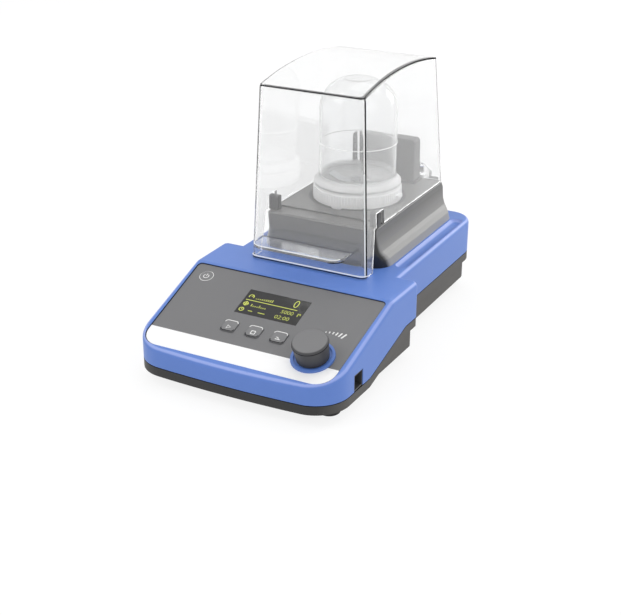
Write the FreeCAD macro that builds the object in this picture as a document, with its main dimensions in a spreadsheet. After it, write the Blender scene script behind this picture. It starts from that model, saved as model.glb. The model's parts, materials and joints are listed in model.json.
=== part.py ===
import FreeCAD, Part
import math
import os

import Sketcher

# Laboratory tube mill. Millimetres, +Z up, the operator stands on the -Y side.
# The origin is the middle of the footprint on the bench.

doc = FreeCAD.newDocument("TubeMill")
sheet = doc.addObject("Spreadsheet::Sheet", "Sizes")

# Driving dimensions. A "station" is a distance behind the foremost point of the console.
driving = {
    # housing
    "overall_depth": 281.7,
    "console_depth": 133.7,
    "console_rear_half_width": 81.3,
    "console_front_half_width": 79.1,
    "front_bow": 3.6,
    "front_corner": 25.4,
    "console_rear_corner": 5.0,
    "rear_half_width": 66.0,
    "rear_corner": 17.8,
    "deck_height": 58.8,
    "crest_front_height": 28.5,
    "panel_slope": 18.3,
    "deck_break_round": 9.0,
    "crest_round": 3.8,
    "shell_wall": 3.0,
    "plan_overlap": 12.0,
    "cut_past": 1.0,
    "parting_front": 15.5,
    "parting_rear": 31.5,
    "parting_rise_start": 57.0,
    "parting_rise_end": 112.8,
    "parting_gap": 0.6,
    "rim_height": 7.0,
    "base_inset": 3.2,
    "base_clear": 8.5,
    "base_wall": 2.6,
    "base_floor": 2.5,
    "gutter_half_gap": 58.7,
    "gutter_round": 6.5,
    "gutter_depth": 2.6,
    "gutter_front_station": 154.0,
    "gutter_rear_station": 258.0,
    # control panel, in the plane of its foil
    "panel_station": 6.1,
    "panel_sink": 0.76,
    "foil_thickness": 0.6,
    "foil_gap": 0.15,
    "panel_length": 88.3,
    "panel_front_margin": 5.3,
    "panel_rear_margin": 5.1,
    "panel_front_corner": 14.0,
    "panel_rear_corner": 3.5,
    "window_centre_across": 0.9,
    "window_centre_up": 60.3,
    "window_width": 49.0,
    "window_height": 24.9,
    "window_ledge": 2.2,
    "lens_thickness": 0.5,
    "display_margin": 3.0,
    "key_size": 10.7,
    "key_corner": 2.2,
    "key_rise": 0.9,
    "key_pitch": 19.5,
    "key_middle_across": 0.8,
    "key_up": 33.2,
    "key_gap": 0.3,
    "key_flange": 1.0,
    "key_flange_thickness": 0.9,
    "key_travel": 0.5,
    "key_edge": 0.6,
    "power_rise": 0.4,
    "power_across": -63.2,
    "power_up": 76.2,
    "power_round": 4.9,
    "knob_across": 51.3,
    "knob_up": 23.5,
    "knob_round": 12.4,
    "knob_foot_round": 11.4,
    "knob_height": 15.0,
    "knob_gap": 0.8,
    "knob_edge": 1.6,
    "collar_round": 15.2,
    "collar_inner_round": 13.2,
    "collar_rise": 1.2,
    "encoder_shaft_round": 3.0,
    "encoder_bush_round": 4.5,
    "encoder_side": 13.0,
    "board_depth": 9.0,
    "board_thickness": 1.6,
    "board_side_gap": 0.7,
    "board_corner": 5.0,
    "board_boss_inset": 5.5,
    "board_boss_front": 14.0,
    "board_boss_rear": 60.0,
    "board_front": 9.0,
    "board_rear": 82.0,
    "board_boss_round": 3.2,
    "switch_side": 6.2,
    "switch_height": 3.9,
    "switch_plunger_round": 1.7,
    # mill block
    "block_foot_half_width": 52.1,
    "block_mid_half_width": 45.4,
    "block_top_half_width": 44.5,
    "block_foot_station": 136.5,
    "block_top_station": 134.6,
    "block_foot_rear_station": 267.5,
    "block_top_rear_station": 262.5,
    "block_foot_corner": 15.0,
    "block_mid_corner": 8.0,
    "block_top_corner": 4.0,
    "block_top": 90.7,
    "block_flare_rise": 17.0,
    "block_edge": 1.2,
    "block_rear_round": 5.0,
    "block_wall": 3.6,
    "block_ceiling": 8.4,
    "block_inner_corner": 6.0,
    "front_step_depth": 1.0,
    "front_step_station": 149.0,
    "tower_half_width": 26.3,
    "tower_front_station": 240.4,
    "tower_rear_foot_station": 253.4,
    "tower_rear_top_station": 251.2,
    "tower_top": 125.7,
    "tower_corner": 2.6,
    "tower_edge": 1.4,
    "sensor_board_height": 28.0,
    "tower_wall": 1.8,
    "tower_flange": 1.6,
    "tower_flange_thickness": 2.0,
    "guide_inner": 37.0,
    "guide_outer": 44.8,
    "guide_station": 139.5,
    "guide_length": 4.9,
    "guide_height": 10.0,
    "guide_top_round": 1.0,
    # hood
    "hood_gap": 0.6,
    "hood_wall": 2.0,
    "hood_height": 197.1,
    "hood_crown_station": 187.5,
    "hood_roof_radius": 307.0,
    "hood_roof_half_span": 90.0,
    "hood_loft_top": 202.0,
    "hood_foot_half_width": 47.0,
    "hood_top_half_width": 40.7,
    "hood_foot_station": 114.3,
    "hood_top_station": 118.5,
    "hood_foot_rear_station": 261.9,
    "hood_top_rear_station": 246.2,
    "hood_corner": 4.5,
    "hood_roof_edge": 3.0,
    "apron_depth": 13.6,
    "apron_lean": 5.0,
    "notch_front_gap": 3.5,
    "notch_rear_gap": 4.1,
    "notch_top_gap": 1.2,
    "grip_half_width": 36.2,
    "grip_reach": 19.6,
    "grip_top": 78.1,
    "grip_thickness": 2.6,
    "grip_corner": 9.0,
    "grip_edge": 0.8,
    "hinge_station": 269.8,
    "hinge_height": 84.0,
    "hinge_eye_round": 5.0,
    "hinge_pin_round": 2.0,
    "ear_root": 5.3,
    "ear_rise": 12.5,
    "ear_lift": 0.2,
    "pin_fit": 0.04,
    "ear_inner": 21.0,
    "ear_thickness": 7.0,
    "post_thickness": 7.0,
    "post_gap": 0.5,
    "post_block_gap": 0.6,
    "post_foot_length": 9.5,
    # grinding tube
    "tube_station": 196.0,
    "socket_depth": 2.4,
    "socket_ring_wall": 3.0,
    "tube_seat_gap": 0.25,
    "lid_round": 32.9,
    "lid_height": 11.0,
    "lid_floor": 3.0,
    "lid_wall": 2.2,
    "lid_rim_round": 32.0,
    "lid_rim_rise": 2.0,
    "lid_hub_round": 11.5,
    "lid_hub_rise": 9.0,
    "lid_tab_reach": 35.4,
    "lid_tab_width": 7.0,
    "lid_tab_thickness": 2.6,
    "lid_tab_rise": 5.4,
    "tab_entry_gap": 1.0,
    "dog_pocket_round": 8.8,
    "dog_pocket_depth": 6.0,
    "dome_round": 28.8,
    "dome_wall": 1.5,
    "dome_shoulder_height": 70.3,
    "dome_height": 92.5,
    "dome_flat_round": 10.0,
    "dome_neck_gap": 0.35,
    "dome_flange_round": 32.2,
    "dome_flange_thickness": 2.2,
    "dome_flange_gap": 0.3,
    "dome_shoulder_rise": 3.0,
    "seal_thickness": 0.9,
    "seal_band": 3.0,
    "spindle_round": 3.0,
    "bush_wall": 1.6,
    "running_fit": 0.05,
    "dog_round": 7.6,
    "dog_height": 4.6,
    "drive_hex": 7.0,
    "drive_hex_gap": 0.3,
    "drive_hex_height": 4.4,
    "drive_disc_round": 7.0,
    "drive_disc_thickness": 2.0,
    "dog_lift": 0.85,
    "dog_socket_depth": 3.6,
    "blade_gap": 0.45,
    "nut_across": 8.0,
    "nut_height": 2.1,
    "blade_length": 44.0,
    "blade_width": 9.0,
    "blade_thickness": 1.2,
    "blade_tip_rise": 4.0,
    # motor and what stands around it
    "socket_gap": 0.6,
    "drive_bore_round": 9.0,
    "motor_screw_round": 1.5,
    "motor_screw_bite": 4.5,
    "motor_round": 22.0,
    "motor_length": 48.0,
    "motor_wall": 2.0,
    "motor_cap": 7.0,
    "motor_plate_thickness": 2.5,
    "motor_plate_half": 27.0,
    "damper_round": 5.0,
    "damper_height": 4.0,
    "damper_reach": 21.0,
    "shaft_round": 3.0,
    "rotor_round": 15.0,
    "rotor_gap": 0.8,
    "bearing_round": 8.0,
    "bearing_width": 5.0,
    "bearing_boss_wall": 2.5,
    "stack_gap": 3.0,
    "fan_round": 20.0,
    "fan_hub_round": 6.0,
    "fan_width": 7.0,
    "fan_gap": 3.0,
    "fan_blades": 7,
    "fan_disc_thickness": 1.6,
    "fan_vane": 1.4,
    "seal_width": 3.0,
    # base furniture
    "foot_round": 8.3,
    "foot_socket": 1.5,
    "front_foot_inset": 15.1,
    "front_foot_station": 27.7,
    "rear_foot_across": 46.0,
    "rear_foot_station": 250.0,
    "vent_slots": 7,
    "vent_pitch": 6.0,
    "vent_width": 3.0,
    "vent_length": 34.0,
    "case_boss_round": 4.2,
    "case_screw_round": 1.5,
    "case_screw_bite": 9.0,
    "case_screw_grip": 8.0,
    "case_head_round": 2.9,
    "case_head_depth": 2.0,
    "case_well_round": 3.2,
    "screw_gap": 0.1,
    "press_gap": 0.02,
    "block_screw_round": 1.5,
    "block_screw_across": 44.0,
    "block_screw_front_station": 160.0,
    "block_screw_rear_station": 240.0,
    "block_screw_bite": 8.0,
    "board_screw_round": 1.25,
    "board_screw_bite": 4.0,
    "board_head_round": 2.3,
    "board_head_depth": 1.6,
    "capacitor_round": 5.0,
    "capacitor_height": 14.0,
    "capacitor_pitch": 12.0,
    "capacitor_back": 14.0,
    "sink_half": 17.5,
    "sink_depth": 12.0,
    "sink_height": 12.0,
    "fin_gap": 2.0,
    "fin_thickness": 1.5,
    "sink_base": 2.5,
    "sink_back": 28.0,
    "fin_count": 9,
    "power_post_round": 2.6,
    "power_post_inset": 5.0,
    "front_boss_inset": 8.65,
    "front_boss_station": 60.0,
    "rear_boss_across": 52.0,
    "rear_boss_station": 225.0,
    "power_board_length": 92.0,
    "power_board_width": 46.0,
    "power_board_station": 62.0,
    "power_board_rise": 5.0,
    "inlet_across": 38.0,
    "inlet_height": 43.0,
    "inlet_width": 14.0,
    "inlet_depth": 13.0,
    "inlet_bore": 3.4,
    "inlet_pin": 1.0,
    "inlet_bore_depth": 10.0,
    "inlet_flange": 1.8,
    "port_station": 39.7,
    "port_width": 12.7,
    "port_tall": 12.4,
    "port_depth": 12.0,
    "port_wall": 1.0,
    "port_floor": 2.0,
    "port_sink": 0.4,
    "port_flange_gap": 0.5,
}


class Size:
    # A number kept together with the sheet formula that gives it.
    def __init__(self, value, formula):
        self.value = value
        self.formula = formula

    def __add__(self, other):
        other = as_size(other)
        return Size(self.value + other.value, f"({self.formula} + {other.formula})")

    def __sub__(self, other):
        other = as_size(other)
        return Size(self.value - other.value, f"({self.formula} - {other.formula})")

    def __mul__(self, other):
        other = as_size(other)
        return Size(self.value * other.value, f"({self.formula} * {other.formula})")

    def __truediv__(self, other):
        other = as_size(other)
        return Size(self.value / other.value, f"({self.formula} / {other.formula})")

    def __radd__(self, other):
        return as_size(other) + self

    def __rsub__(self, other):
        return as_size(other) - self

    def __rmul__(self, other):
        return self * other

    def __neg__(self):
        return Size(-self.value, f"(0 - {self.formula})")


def as_size(number):
    if isinstance(number, Size):
        return number
    return Size(float(number), f"{number}")


def sine(angle):
    return Size(math.sin(math.radians(angle.value)), f"sin({angle.formula})")


def cosine(angle):
    return Size(math.cos(math.radians(angle.value)), f"cos({angle.formula})")


def tangent(angle):
    return Size(math.tan(math.radians(angle.value)), f"tan({angle.formula})")


def root(size):
    return Size(math.sqrt(size.value), f"sqrt({size.formula})")


class Dimensions:
    # Each driving dimension, by its name in the sheet.
    def __init__(self, table):
        for row, (name, value) in enumerate(table.items(), start=1):
            sheet.set(f"A{row}", name)
            sheet.set(f"B{row}", str(value))
            sheet.setAlias(f"B{row}", name)
            setattr(self, name, Size(value, f"Sizes.{name}"))


d = Dimensions(driving)
doc.recompute()

ACROSS = FreeCAD.Vector(1, 0, 0)
UP = FreeCAD.Vector(0, 0, 1)
far = as_size(400)
sub_parts = []


def station(distance):
    # Row Y of a distance behind the foremost point of the console.
    return as_size(distance) - d.overall_depth / 2


def bind(thing, prop, size):
    size = as_size(size)
    thing.setExpression(prop, size.formula)


def new_body(label):
    body = doc.addObject("PartDesign::Body", label)
    body.Label = label
    return body


def keep(thing, label):
    # The finished sub-part of this label.
    thing.Label = label
    sub_parts.append(thing)
    return thing


def origin_part(body, role):
    for feature in body.Origin.OriginFeatures:
        if feature.Role == role:
            return feature


def new_sketch(body, name, plane="XY_Plane", lift=0, across=0, along=0, tilt=None):
    sketch = body.newObject("Sketcher::SketchObject", name)
    sketch.AttachmentSupport = [(origin_part(body, plane), "")]
    sketch.MapMode = "FlatFace"
    lift, across, along = as_size(lift), as_size(across), as_size(along)
    turn = FreeCAD.Rotation(ACROSS, tilt.value if tilt else 0)
    sketch.AttachmentOffset = FreeCAD.Placement(
        FreeCAD.Vector(across.value, along.value, lift.value), turn)
    bind(sketch, "AttachmentOffset.Base.x", across)
    bind(sketch, "AttachmentOffset.Base.y", along)
    bind(sketch, "AttachmentOffset.Base.z", lift)
    if tilt:
        bind(sketch, "AttachmentOffset.Rotation.Angle", tilt)
    return sketch


def hold(sketch, kind, geometry, point, size):
    # Fixes one coordinate of a sketch point, measured from the sketch origin.
    if abs(size.value) < 1e-9:
        axis = -2 if kind == "DistanceX" else -1
        sketch.addConstraint(Sketcher.Constraint("PointOnObject", geometry, point, axis))
        return
    index = sketch.addConstraint(Sketcher.Constraint(kind, -1, 1, geometry, point, size.value))
    bind(sketch, f"Constraints[{index}]", size)


def outline(sketch, points):
    # A closed outline. Each point is (x, y) or (x, y, radius): the radius rounds the run to the
    # next point, to the left of the way it goes when positive, to the right when negative.
    ends = []
    count = len(points)
    for here in range(count):
        x0, y0 = as_size(points[here][0]), as_size(points[here][1])
        x1, y1 = as_size(points[(here + 1) % count][0]), as_size(points[(here + 1) % count][1])
        start = FreeCAD.Vector(x0.value, y0.value, 0)
        stop = FreeCAD.Vector(x1.value, y1.value, 0)
        if len(points[here]) == 2:
            index = sketch.addGeometry(Part.LineSegment(start, stop), False)
            ends.append((index, 1, 2))
            continue
        radius = as_size(points[here][2])
        chord = stop - start
        reach = math.sqrt(max(radius.value ** 2 - (chord.Length / 2) ** 2, 0))
        side = FreeCAD.Vector(-chord.y, chord.x, 0).normalize() * math.copysign(reach, radius.value)
        centre = (start + stop) / 2 + side
        turning_left = radius.value > 0
        first, last = (start, stop) if turning_left else (stop, start)
        a0 = math.atan2(first.y - centre.y, first.x - centre.x)
        a1 = math.atan2(last.y - centre.y, last.x - centre.x)
        circle = Part.Circle(centre, UP, abs(radius.value))
        index = sketch.addGeometry(Part.ArcOfCircle(circle, a0, a1), False)
        ends.append((index, 1, 2) if turning_left else (index, 2, 1))
        if reach < 0.01:
            # A half circle is held by its centre, level with its ends or straight above them.
            level = abs(chord.x) > abs(chord.y)
            hold(sketch, "DistanceY" if level else "DistanceX", index, 3, y0 if level else x0)
            continue
        held = sketch.addConstraint(Sketcher.Constraint("Radius", index, abs(radius.value)))
        bind(sketch, f"Constraints[{held}]", radius if turning_left else -radius)
    for here in range(count):
        index, _, stop = ends[here]
        following, start, _ = ends[(here + 1) % count]
        sketch.addConstraint(Sketcher.Constraint("Coincident", index, stop, following, start))
    for here in range(count):
        index, start, _ = ends[here]
        hold(sketch, "DistanceX", index, start, as_size(points[here][0]))
        hold(sketch, "DistanceY", index, start, as_size(points[here][1]))
    return sketch


def rectangle(sketch, x0, x1, y0, y1):
    return outline(sketch, [(x0, y0), (x1, y0), (x1, y1), (x0, y1)])


def rounded(sketch, x0, x1, y0, y1, front, rear=None):
    # A rectangle whose corners are rounded, the two at y0 by front and the two at y1 by rear.
    x0, x1, y0, y1, front = (as_size(each) for each in (x0, x1, y0, y1, front))
    rear = front if rear is None else as_size(rear)
    return outline(sketch, [
        (x0 + front, y0), (x1 - front, y0, front), (x1, y0 + front), (x1, y1 - rear, rear),
        (x1 - rear, y1), (x0 + rear, y1, rear), (x0, y1 - rear), (x0, y0 + front, front)])


def ring(sketch, x, y, *radii):
    x, y = as_size(x), as_size(y)
    for radius in radii:
        radius = as_size(radius)
        centre = FreeCAD.Vector(x.value, y.value, 0)
        index = sketch.addGeometry(Part.Circle(centre, UP, radius.value), False)
        hold(sketch, "DistanceX", index, 3, x)
        hold(sketch, "DistanceY", index, 3, y)
        held = sketch.addConstraint(Sketcher.Constraint("Radius", index, radius.value))
        bind(sketch, f"Constraints[{held}]", radius)
    return sketch


def extrude(body, kind, name, sketch, length, both=False, back=False):
    feature = body.newObject(f"PartDesign::{kind}", name)
    feature.Profile = sketch
    feature.SideType = "Symmetric" if both else "One side"
    feature.Reversed = back
    bind(feature, "Length", length)
    return feature


def pad(body, name, sketch, length, both=False, back=False):
    return extrude(body, "Pad", name, sketch, length, both, back)


def pocket(body, name, sketch, length, both=False, back=False):
    # A pocket goes down from its sketch unless it is turned back or goes both ways.
    before = body.Tip
    feature = extrude(body, "Pocket", name, sketch, length, both, back)
    doc.recompute()
    if before.Shape.Volume - feature.Shape.Volume < 1e-6:
        raise SystemExit(f"{body.Label}: {name} cuts nothing")
    return feature


def turned(body, name, sketch, kind="Revolution", axis="V_Axis"):
    feature = body.newObject(f"PartDesign::{kind}", name)
    feature.Profile = sketch
    feature.ReferenceAxis = (sketch, [axis])
    feature.Angle = 360
    return feature


def edges_where(shape, wanted):
    # Names of the edges that pass the test, which is given the middle point and the direction.
    names = []
    for index, edge in enumerate(shape.Edges, start=1):
        middle = edge.valueAt((edge.FirstParameter + edge.LastParameter) / 2)
        way = edge.tangentAt((edge.FirstParameter + edge.LastParameter) / 2)
        if wanted(edge, middle, way):
            names.append(f"Edge{index}")
    return names


def dress(body, kind, name, wanted, size):
    # A fillet or chamfer on the edges of the present tip that pass the test.
    doc.recompute()
    base = body.Tip
    names = edges_where(base.Shape, wanted)
    if not names:
        raise SystemExit(f"{body.Label}: {name} found no edges")
    feature = body.newObject(f"PartDesign::{kind}", name)
    feature.Base = (base, names)
    bind(feature, "Radius" if kind == "Fillet" else "Size", size)
    doc.recompute()
    return feature


def near(number, size, within=0.05):
    return abs(number - as_size(size).value) < within


def upright(way):
    return abs(way.z) > 0.999


def place(thing, x=0, y=0, z=0):
    x, y, z = as_size(x), as_size(y), as_size(z)
    thing.Placement = FreeCAD.Placement(FreeCAD.Vector(x.value, y.value, z.value), FreeCAD.Rotation())
    bind(thing, "Placement.Base.x", x)
    bind(thing, "Placement.Base.y", y)
    bind(thing, "Placement.Base.z", z)
    return thing


# The panel frame: X across, Y up the slope from the foil's front edge, Z out of the foil.
panel_y = station(d.panel_station)
panel_z = (d.crest_front_height + d.panel_station * tangent(d.panel_slope)
           - d.panel_sink / cosine(d.panel_slope))


def on_panel(thing):
    turn = FreeCAD.Rotation(ACROSS, d.panel_slope.value)
    thing.Placement = FreeCAD.Placement(FreeCAD.Vector(0, panel_y.value, panel_z.value), turn)
    bind(thing, "Placement.Base.y", panel_y)
    bind(thing, "Placement.Base.z", panel_z)
    bind(thing, "Placement.Rotation.Angle", d.panel_slope)
    return thing


def panel_sketch(body, name, lift=0):
    # A sketch on the panel frame inside a body that isn't placed there itself.
    lift = as_size(lift)
    return new_sketch(body, name, lift=panel_z + lift * cosine(d.panel_slope),
                      along=panel_y - lift * sine(d.panel_slope), tilt=d.panel_slope)


# HOUSING
# The plan is the broad console in front and the narrower mill section behind it.
back = station(d.overall_depth)
console_end = station(d.console_depth)


def housing_plan(body, inset, bottom, top):
    inset = as_size(inset)
    rear_half = d.console_rear_half_width - inset
    front_half = d.console_front_half_width - inset
    corner_y = station(d.front_bow) + inset
    bow = (front_half * front_half + d.front_bow * d.front_bow) / (d.front_bow * 2)
    console = new_sketch(body, "ConsolePlan", lift=bottom)
    outline(console, [
        (-front_half, corner_y, bow), (front_half, corner_y),
        (rear_half, console_end - inset), (-rear_half, console_end - inset)])
    pad(body, "Console", console, top - bottom)
    rear = new_sketch(body, "RearPlan", lift=bottom)
    rectangle(rear, inset - d.rear_half_width, d.rear_half_width - inset,
              console_end - inset - d.plan_overlap, back - inset)
    pad(body, "RearSection", rear, top - bottom)
    dress(body, "Fillet", "FrontCorners", lambda edge, p, way: (
        upright(way) and near(p.y, corner_y)), d.front_corner - inset)
    dress(body, "Fillet", "ConsoleRearCorners", lambda edge, p, way: (
        upright(way) and near(p.y, console_end - inset) and near(abs(p.x), rear_half)),
        d.console_rear_corner - inset * 0.5)
    dress(body, "Fillet", "RearCorners", lambda edge, p, way: (
        upright(way) and near(p.y, back - inset)), d.rear_corner - inset)
    return body


def parting_cut(body, name, drop, keep_above):
    # Cuts the body along the parting line, lowered by drop, and keeps one side of it.
    limit = -far if keep_above else far
    sketch = new_sketch(body, name, plane="YZ_Plane")
    outline(sketch, [
        (-far, d.parting_front - drop), (station(d.parting_rise_start), d.parting_front - drop),
        (station(d.parting_rise_end), d.parting_rear - drop), (far, d.parting_rear - drop),
        (far, limit), (-far, limit)])
    pocket(body, name + "Cut", sketch, far, both=True)


def slope_cut(body, drop, ceiling):
    # Cuts the sloping control face, lowered by drop, until it meets the level ceiling.
    rise = tangent(d.panel_slope)
    fall = as_size(drop) / cosine(d.panel_slope)
    foot = d.crest_front_height - fall
    meet = (ceiling - foot) / rise
    start = -d.plan_overlap
    sketch = new_sketch(body, "Slope", plane="YZ_Plane")
    outline(sketch, [
        (station(start), foot + start * rise), (station(meet), ceiling),
        (station(meet), far), (station(start), far)])
    pocket(body, "SlopeCut", sketch, far, both=True)
    return station(meet)


def console_half_width(along):
    # Half the width of the console at a station of its sides, which spread towards the rear.
    spread = (d.console_rear_half_width - d.console_front_half_width) / (d.console_depth - d.front_bow)
    return d.console_front_half_width + spread * (along - d.front_bow)


ceiling = d.deck_height - d.shell_wall - d.gutter_depth
panel_ceiling = d.panel_sink - d.shell_wall
board_top = -d.board_depth
front_boss_across = console_half_width(d.front_boss_station) - d.front_boss_inset
board_half_width = front_boss_across - d.case_boss_round - d.board_side_gap
board_boss_across = board_half_width - d.board_boss_inset
front_foot_across = d.console_front_half_width - d.front_foot_inset
board_places = [(board_boss_across * side, up)
                for up in (d.board_boss_front, d.board_boss_rear) for side in (-1, 1)]
key_places = {
    "key_left": d.key_middle_across - d.key_pitch,
    "key_middle": d.key_middle_across,
    "key_right": d.key_middle_across + d.key_pitch,
}
case_bosses = [(front_boss_across * side, station(d.front_boss_station)) for side in (-1, 1)]
case_bosses += [(d.rear_boss_across * side, station(d.rear_boss_station)) for side in (-1, 1)]
boss_foot = d.parting_rear + 1
case_head_seat = boss_foot - d.case_screw_grip
feet = {
    "foot_front_left": (-front_foot_across, station(d.front_foot_station)),
    "foot_front_right": (front_foot_across, station(d.front_foot_station)),
    "foot_rear_left": (-d.rear_foot_across, station(d.rear_foot_station)),
    "foot_rear_right": (d.rear_foot_across, station(d.rear_foot_station)),
}
power_front = station(d.power_board_station)
power_posts = [
    (side * (d.power_board_length / 2 - d.power_post_inset),
     power_front + d.power_post_inset + end * (d.power_board_width - d.power_post_inset * 2))
    for side in (-1, 1) for end in (0, 1)]
tube_y = station(d.tube_station)
port_y = station(d.port_station)
port_side = console_half_width(d.port_station)
block_screws = [(d.block_screw_across * side, station(along))
                for along in (d.block_screw_front_station, d.block_screw_rear_station) for side in (-1, 1)]
block_inner_half = d.block_top_half_width - d.block_wall
block_inner_front = station(d.block_foot_station + d.block_wall)
block_inner_rear = station(d.block_top_rear_station - d.block_wall)


def foil_outline(sketch, gap):
    # The control foil, wider towards its rear edge, with large front corners.
    gap = as_size(gap)
    front_half = d.console_front_half_width - d.panel_front_margin + gap
    rear_half = d.console_rear_half_width - d.panel_rear_margin + gap
    front = d.panel_front_corner + gap
    rear = d.panel_rear_corner + gap
    top = d.panel_length + gap
    side_lean = (rear_half - front_half) / d.panel_length
    front_side = front_half + side_lean * front
    rear_side = rear_half - side_lean * rear
    return outline(sketch, [
        (front - front_half, -gap), (front_half - front, -gap, front), (front_side, front - gap),
        (rear_side, top - rear, rear), (rear_half - rear, top), (rear - rear_half, top, rear),
        (-rear_side, top - rear), (-front_side, front - gap, front)])


def window_outline(sketch, grow):
    grow = as_size(grow)
    half_wide = d.window_width / 2 + grow
    half_high = d.window_height / 2 + grow
    return rectangle(sketch, d.window_centre_across - half_wide, d.window_centre_across + half_wide,
                     d.window_centre_up - half_high, d.window_centre_up + half_high)


def key_outline(sketch, across, grow):
    half = d.key_size / 2 + grow
    return rounded(sketch, across - half, across + half, d.key_up - half, d.key_up + half,
                   d.key_corner + grow)


# Top shell: a thin moulding, hollow below, with the inset control face and the deck.
shell = housing_plan(new_body("shell_outer"), 0, 0, d.deck_height)
break_y = slope_cut(shell, 0, d.deck_height)
dress(shell, "Fillet", "DeckBreak", lambda edge, p, way: (
    near(p.y, break_y) and near(p.z, d.deck_height) and abs(way.x) > 0.999), d.deck_break_round)


def on_crest(edge, p, way):
    # The outer rim of the deck and of the slope, without the break that runs across between them.
    slope = d.crest_front_height + (as_size(p.y) - station(0)) * tangent(d.panel_slope)
    high = near(p.z, d.deck_height, 1) or near(p.z, slope)
    at_rim = abs(p.x) > d.gutter_half_gap.value / 2 or p.y < panel_y.value or p.y > back.value - 1
    return high and at_rim and not upright(way)


dress(shell, "Fillet", "Crest", on_crest, d.crest_round)
for side in (-1, 1):
    valley = new_sketch(shell, "Valley", across=d.gutter_half_gap * side,
                        lift=d.deck_height + d.gutter_round - d.gutter_depth)
    outline(valley, [
        (0, station(d.gutter_front_station) - d.gutter_round, d.gutter_round),
        (d.gutter_round, station(d.gutter_front_station)),
        (d.gutter_round, station(d.gutter_rear_station), d.gutter_round),
        (0, station(d.gutter_rear_station) + d.gutter_round)])
    turned(shell, "ValleyGroove", valley, kind="Groove")
parting_cut(shell, "Parting", 0, keep_above=True)
foil_seat = panel_sketch(shell, "FoilSeat", lift=-d.foil_thickness)
foil_outline(foil_seat, d.foil_gap)
pocket(shell, "FoilSeatCut", foil_seat, d.foil_thickness + d.panel_sink + d.cut_past, back=True)
through = d.shell_wall + d.cut_past * 2
pocket(shell, "DisplayHoleCut", window_outline(panel_sketch(shell, "DisplayHole"), -d.window_ledge), through)
for name, across in key_places.items():
    pocket(shell, name + "_hole", key_outline(panel_sketch(shell, name + "_plan"), across, d.key_gap), through)
pocket(shell, "PowerHoleCut", ring(panel_sketch(shell, "PowerHole"), d.power_across, d.power_up,
                                   d.power_round + d.key_gap), through)
pocket(shell, "EncoderHoleCut", ring(panel_sketch(shell, "EncoderHole"), d.knob_across, d.knob_up,
                                     d.encoder_bush_round + d.screw_gap), through)
block_hole = new_sketch(shell, "BlockHole", lift=d.deck_height)
rounded(block_hole, -block_inner_half, block_inner_half, block_inner_front, block_inner_rear,
        d.block_inner_corner)
pocket(shell, "BlockHoleCut", block_hole, d.deck_height - ceiling + d.cut_past)
inlet_hole = new_sketch(shell, "InletHole", plane="XZ_Plane", lift=-back - d.cut_past)
rectangle(inlet_hole, d.inlet_across - d.inlet_width / 2, d.inlet_across + d.inlet_width / 2,
          d.inlet_height - d.inlet_width / 2, d.inlet_height + d.inlet_width / 2)
pocket(shell, "InletHoleCut", inlet_hole, through, back=True)
# The notch of the service port, open down to the parting line.
port_hole = new_sketch(shell, "PortHole", plane="YZ_Plane", lift=port_side + d.cut_past)
rectangle(port_hole, port_y - d.port_width / 2, port_y + d.port_width / 2,
          d.parting_front - d.cut_past, d.parting_front + d.port_tall)
pocket(shell, "PortHoleCut", port_hole, through)
case_pilots = new_sketch(shell, "CasePilots")
for x, y in case_bosses:
    ring(case_pilots, x, y, d.case_screw_round)
pocket(shell, "CasePilotCut", case_pilots, boss_foot + d.case_screw_bite, back=True)
block_screw_holes = new_sketch(shell, "BlockScrewHoles")
for x, y in block_screws:
    ring(block_screw_holes, x, y, d.block_screw_round + d.screw_gap)
pocket(shell, "BlockScrewHoleCut", block_screw_holes, d.deck_height, back=True)

board_pilots = panel_sketch(shell, "BoardPilots", lift=board_top)
for across, up in board_places:
    ring(board_pilots, across, up, d.board_screw_round + d.press_gap)
pocket(shell, "BoardPilotCut", board_pilots, d.board_screw_bite, back=True)

# The space inside the top shell, with the bosses that hang from its ceiling left standing.
hollow = housing_plan(new_body("shell_hollow"), d.shell_wall, 0, ceiling)
slope_cut(hollow, d.shell_wall, ceiling)
bosses = new_sketch(hollow, "CaseBosses", lift=boss_foot)
for x, y in case_bosses:
    ring(bosses, x, y, d.case_boss_round)
pocket(hollow, "CaseBossCut", bosses, far, back=True)
board_bosses = panel_sketch(hollow, "BoardBosses", lift=board_top)
for across, up in board_places:
    ring(board_bosses, across, up, d.board_boss_round)
pocket(hollow, "BoardBossCut", board_bosses, far, back=True)
top_shell = doc.addObject("Part::Cut", "TopShell")
top_shell.Base = shell
top_shell.Tool = hollow
keep(top_shell, "top_shell")

# Base tray: a flush rim under the parting line, and an inset pan below it.
rim = housing_plan(new_body("tray_rim"), 0, 0, d.deck_height)
parting_cut(rim, "RimTop", d.parting_gap, keep_above=False)
parting_cut(rim, "RimFoot", d.rim_height, keep_above=True)
pan = housing_plan(new_body("tray_pan"), d.base_inset, d.base_clear, d.deck_height)
parting_cut(pan, "PanTop", 0, keep_above=False)
pan_wall = d.base_inset + d.base_wall
tray_floor = d.base_clear + d.base_floor
tray_hollow = housing_plan(new_body("tray_hollow"), pan_wall, tray_floor, d.deck_height)
board_posts = new_sketch(tray_hollow, "PowerBoardPosts", lift=tray_floor)
for x, y in power_posts:
    ring(board_posts, x, y, d.power_post_round)
pocket(tray_hollow, "PowerBoardPostCut", board_posts, d.power_board_rise, back=True)
power_space = new_sketch(tray_hollow, "PowerBoardSpace", lift=tray_floor + d.power_board_rise)
for x, y in power_posts:
    ring(power_space, x, y, d.power_post_round)
pad(tray_hollow, "PowerBoardSpacePad", power_space, d.cut_past)
parting_cut(tray_hollow, "HollowTop", -d.cut_past, keep_above=False)
tray_block = doc.addObject("Part::MultiFuse", "TrayBlock")
tray_block.Shapes = [rim, pan]
tray_shell = doc.addObject("Part::Cut", "TrayShell")
tray_shell.Base = tray_block
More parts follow.
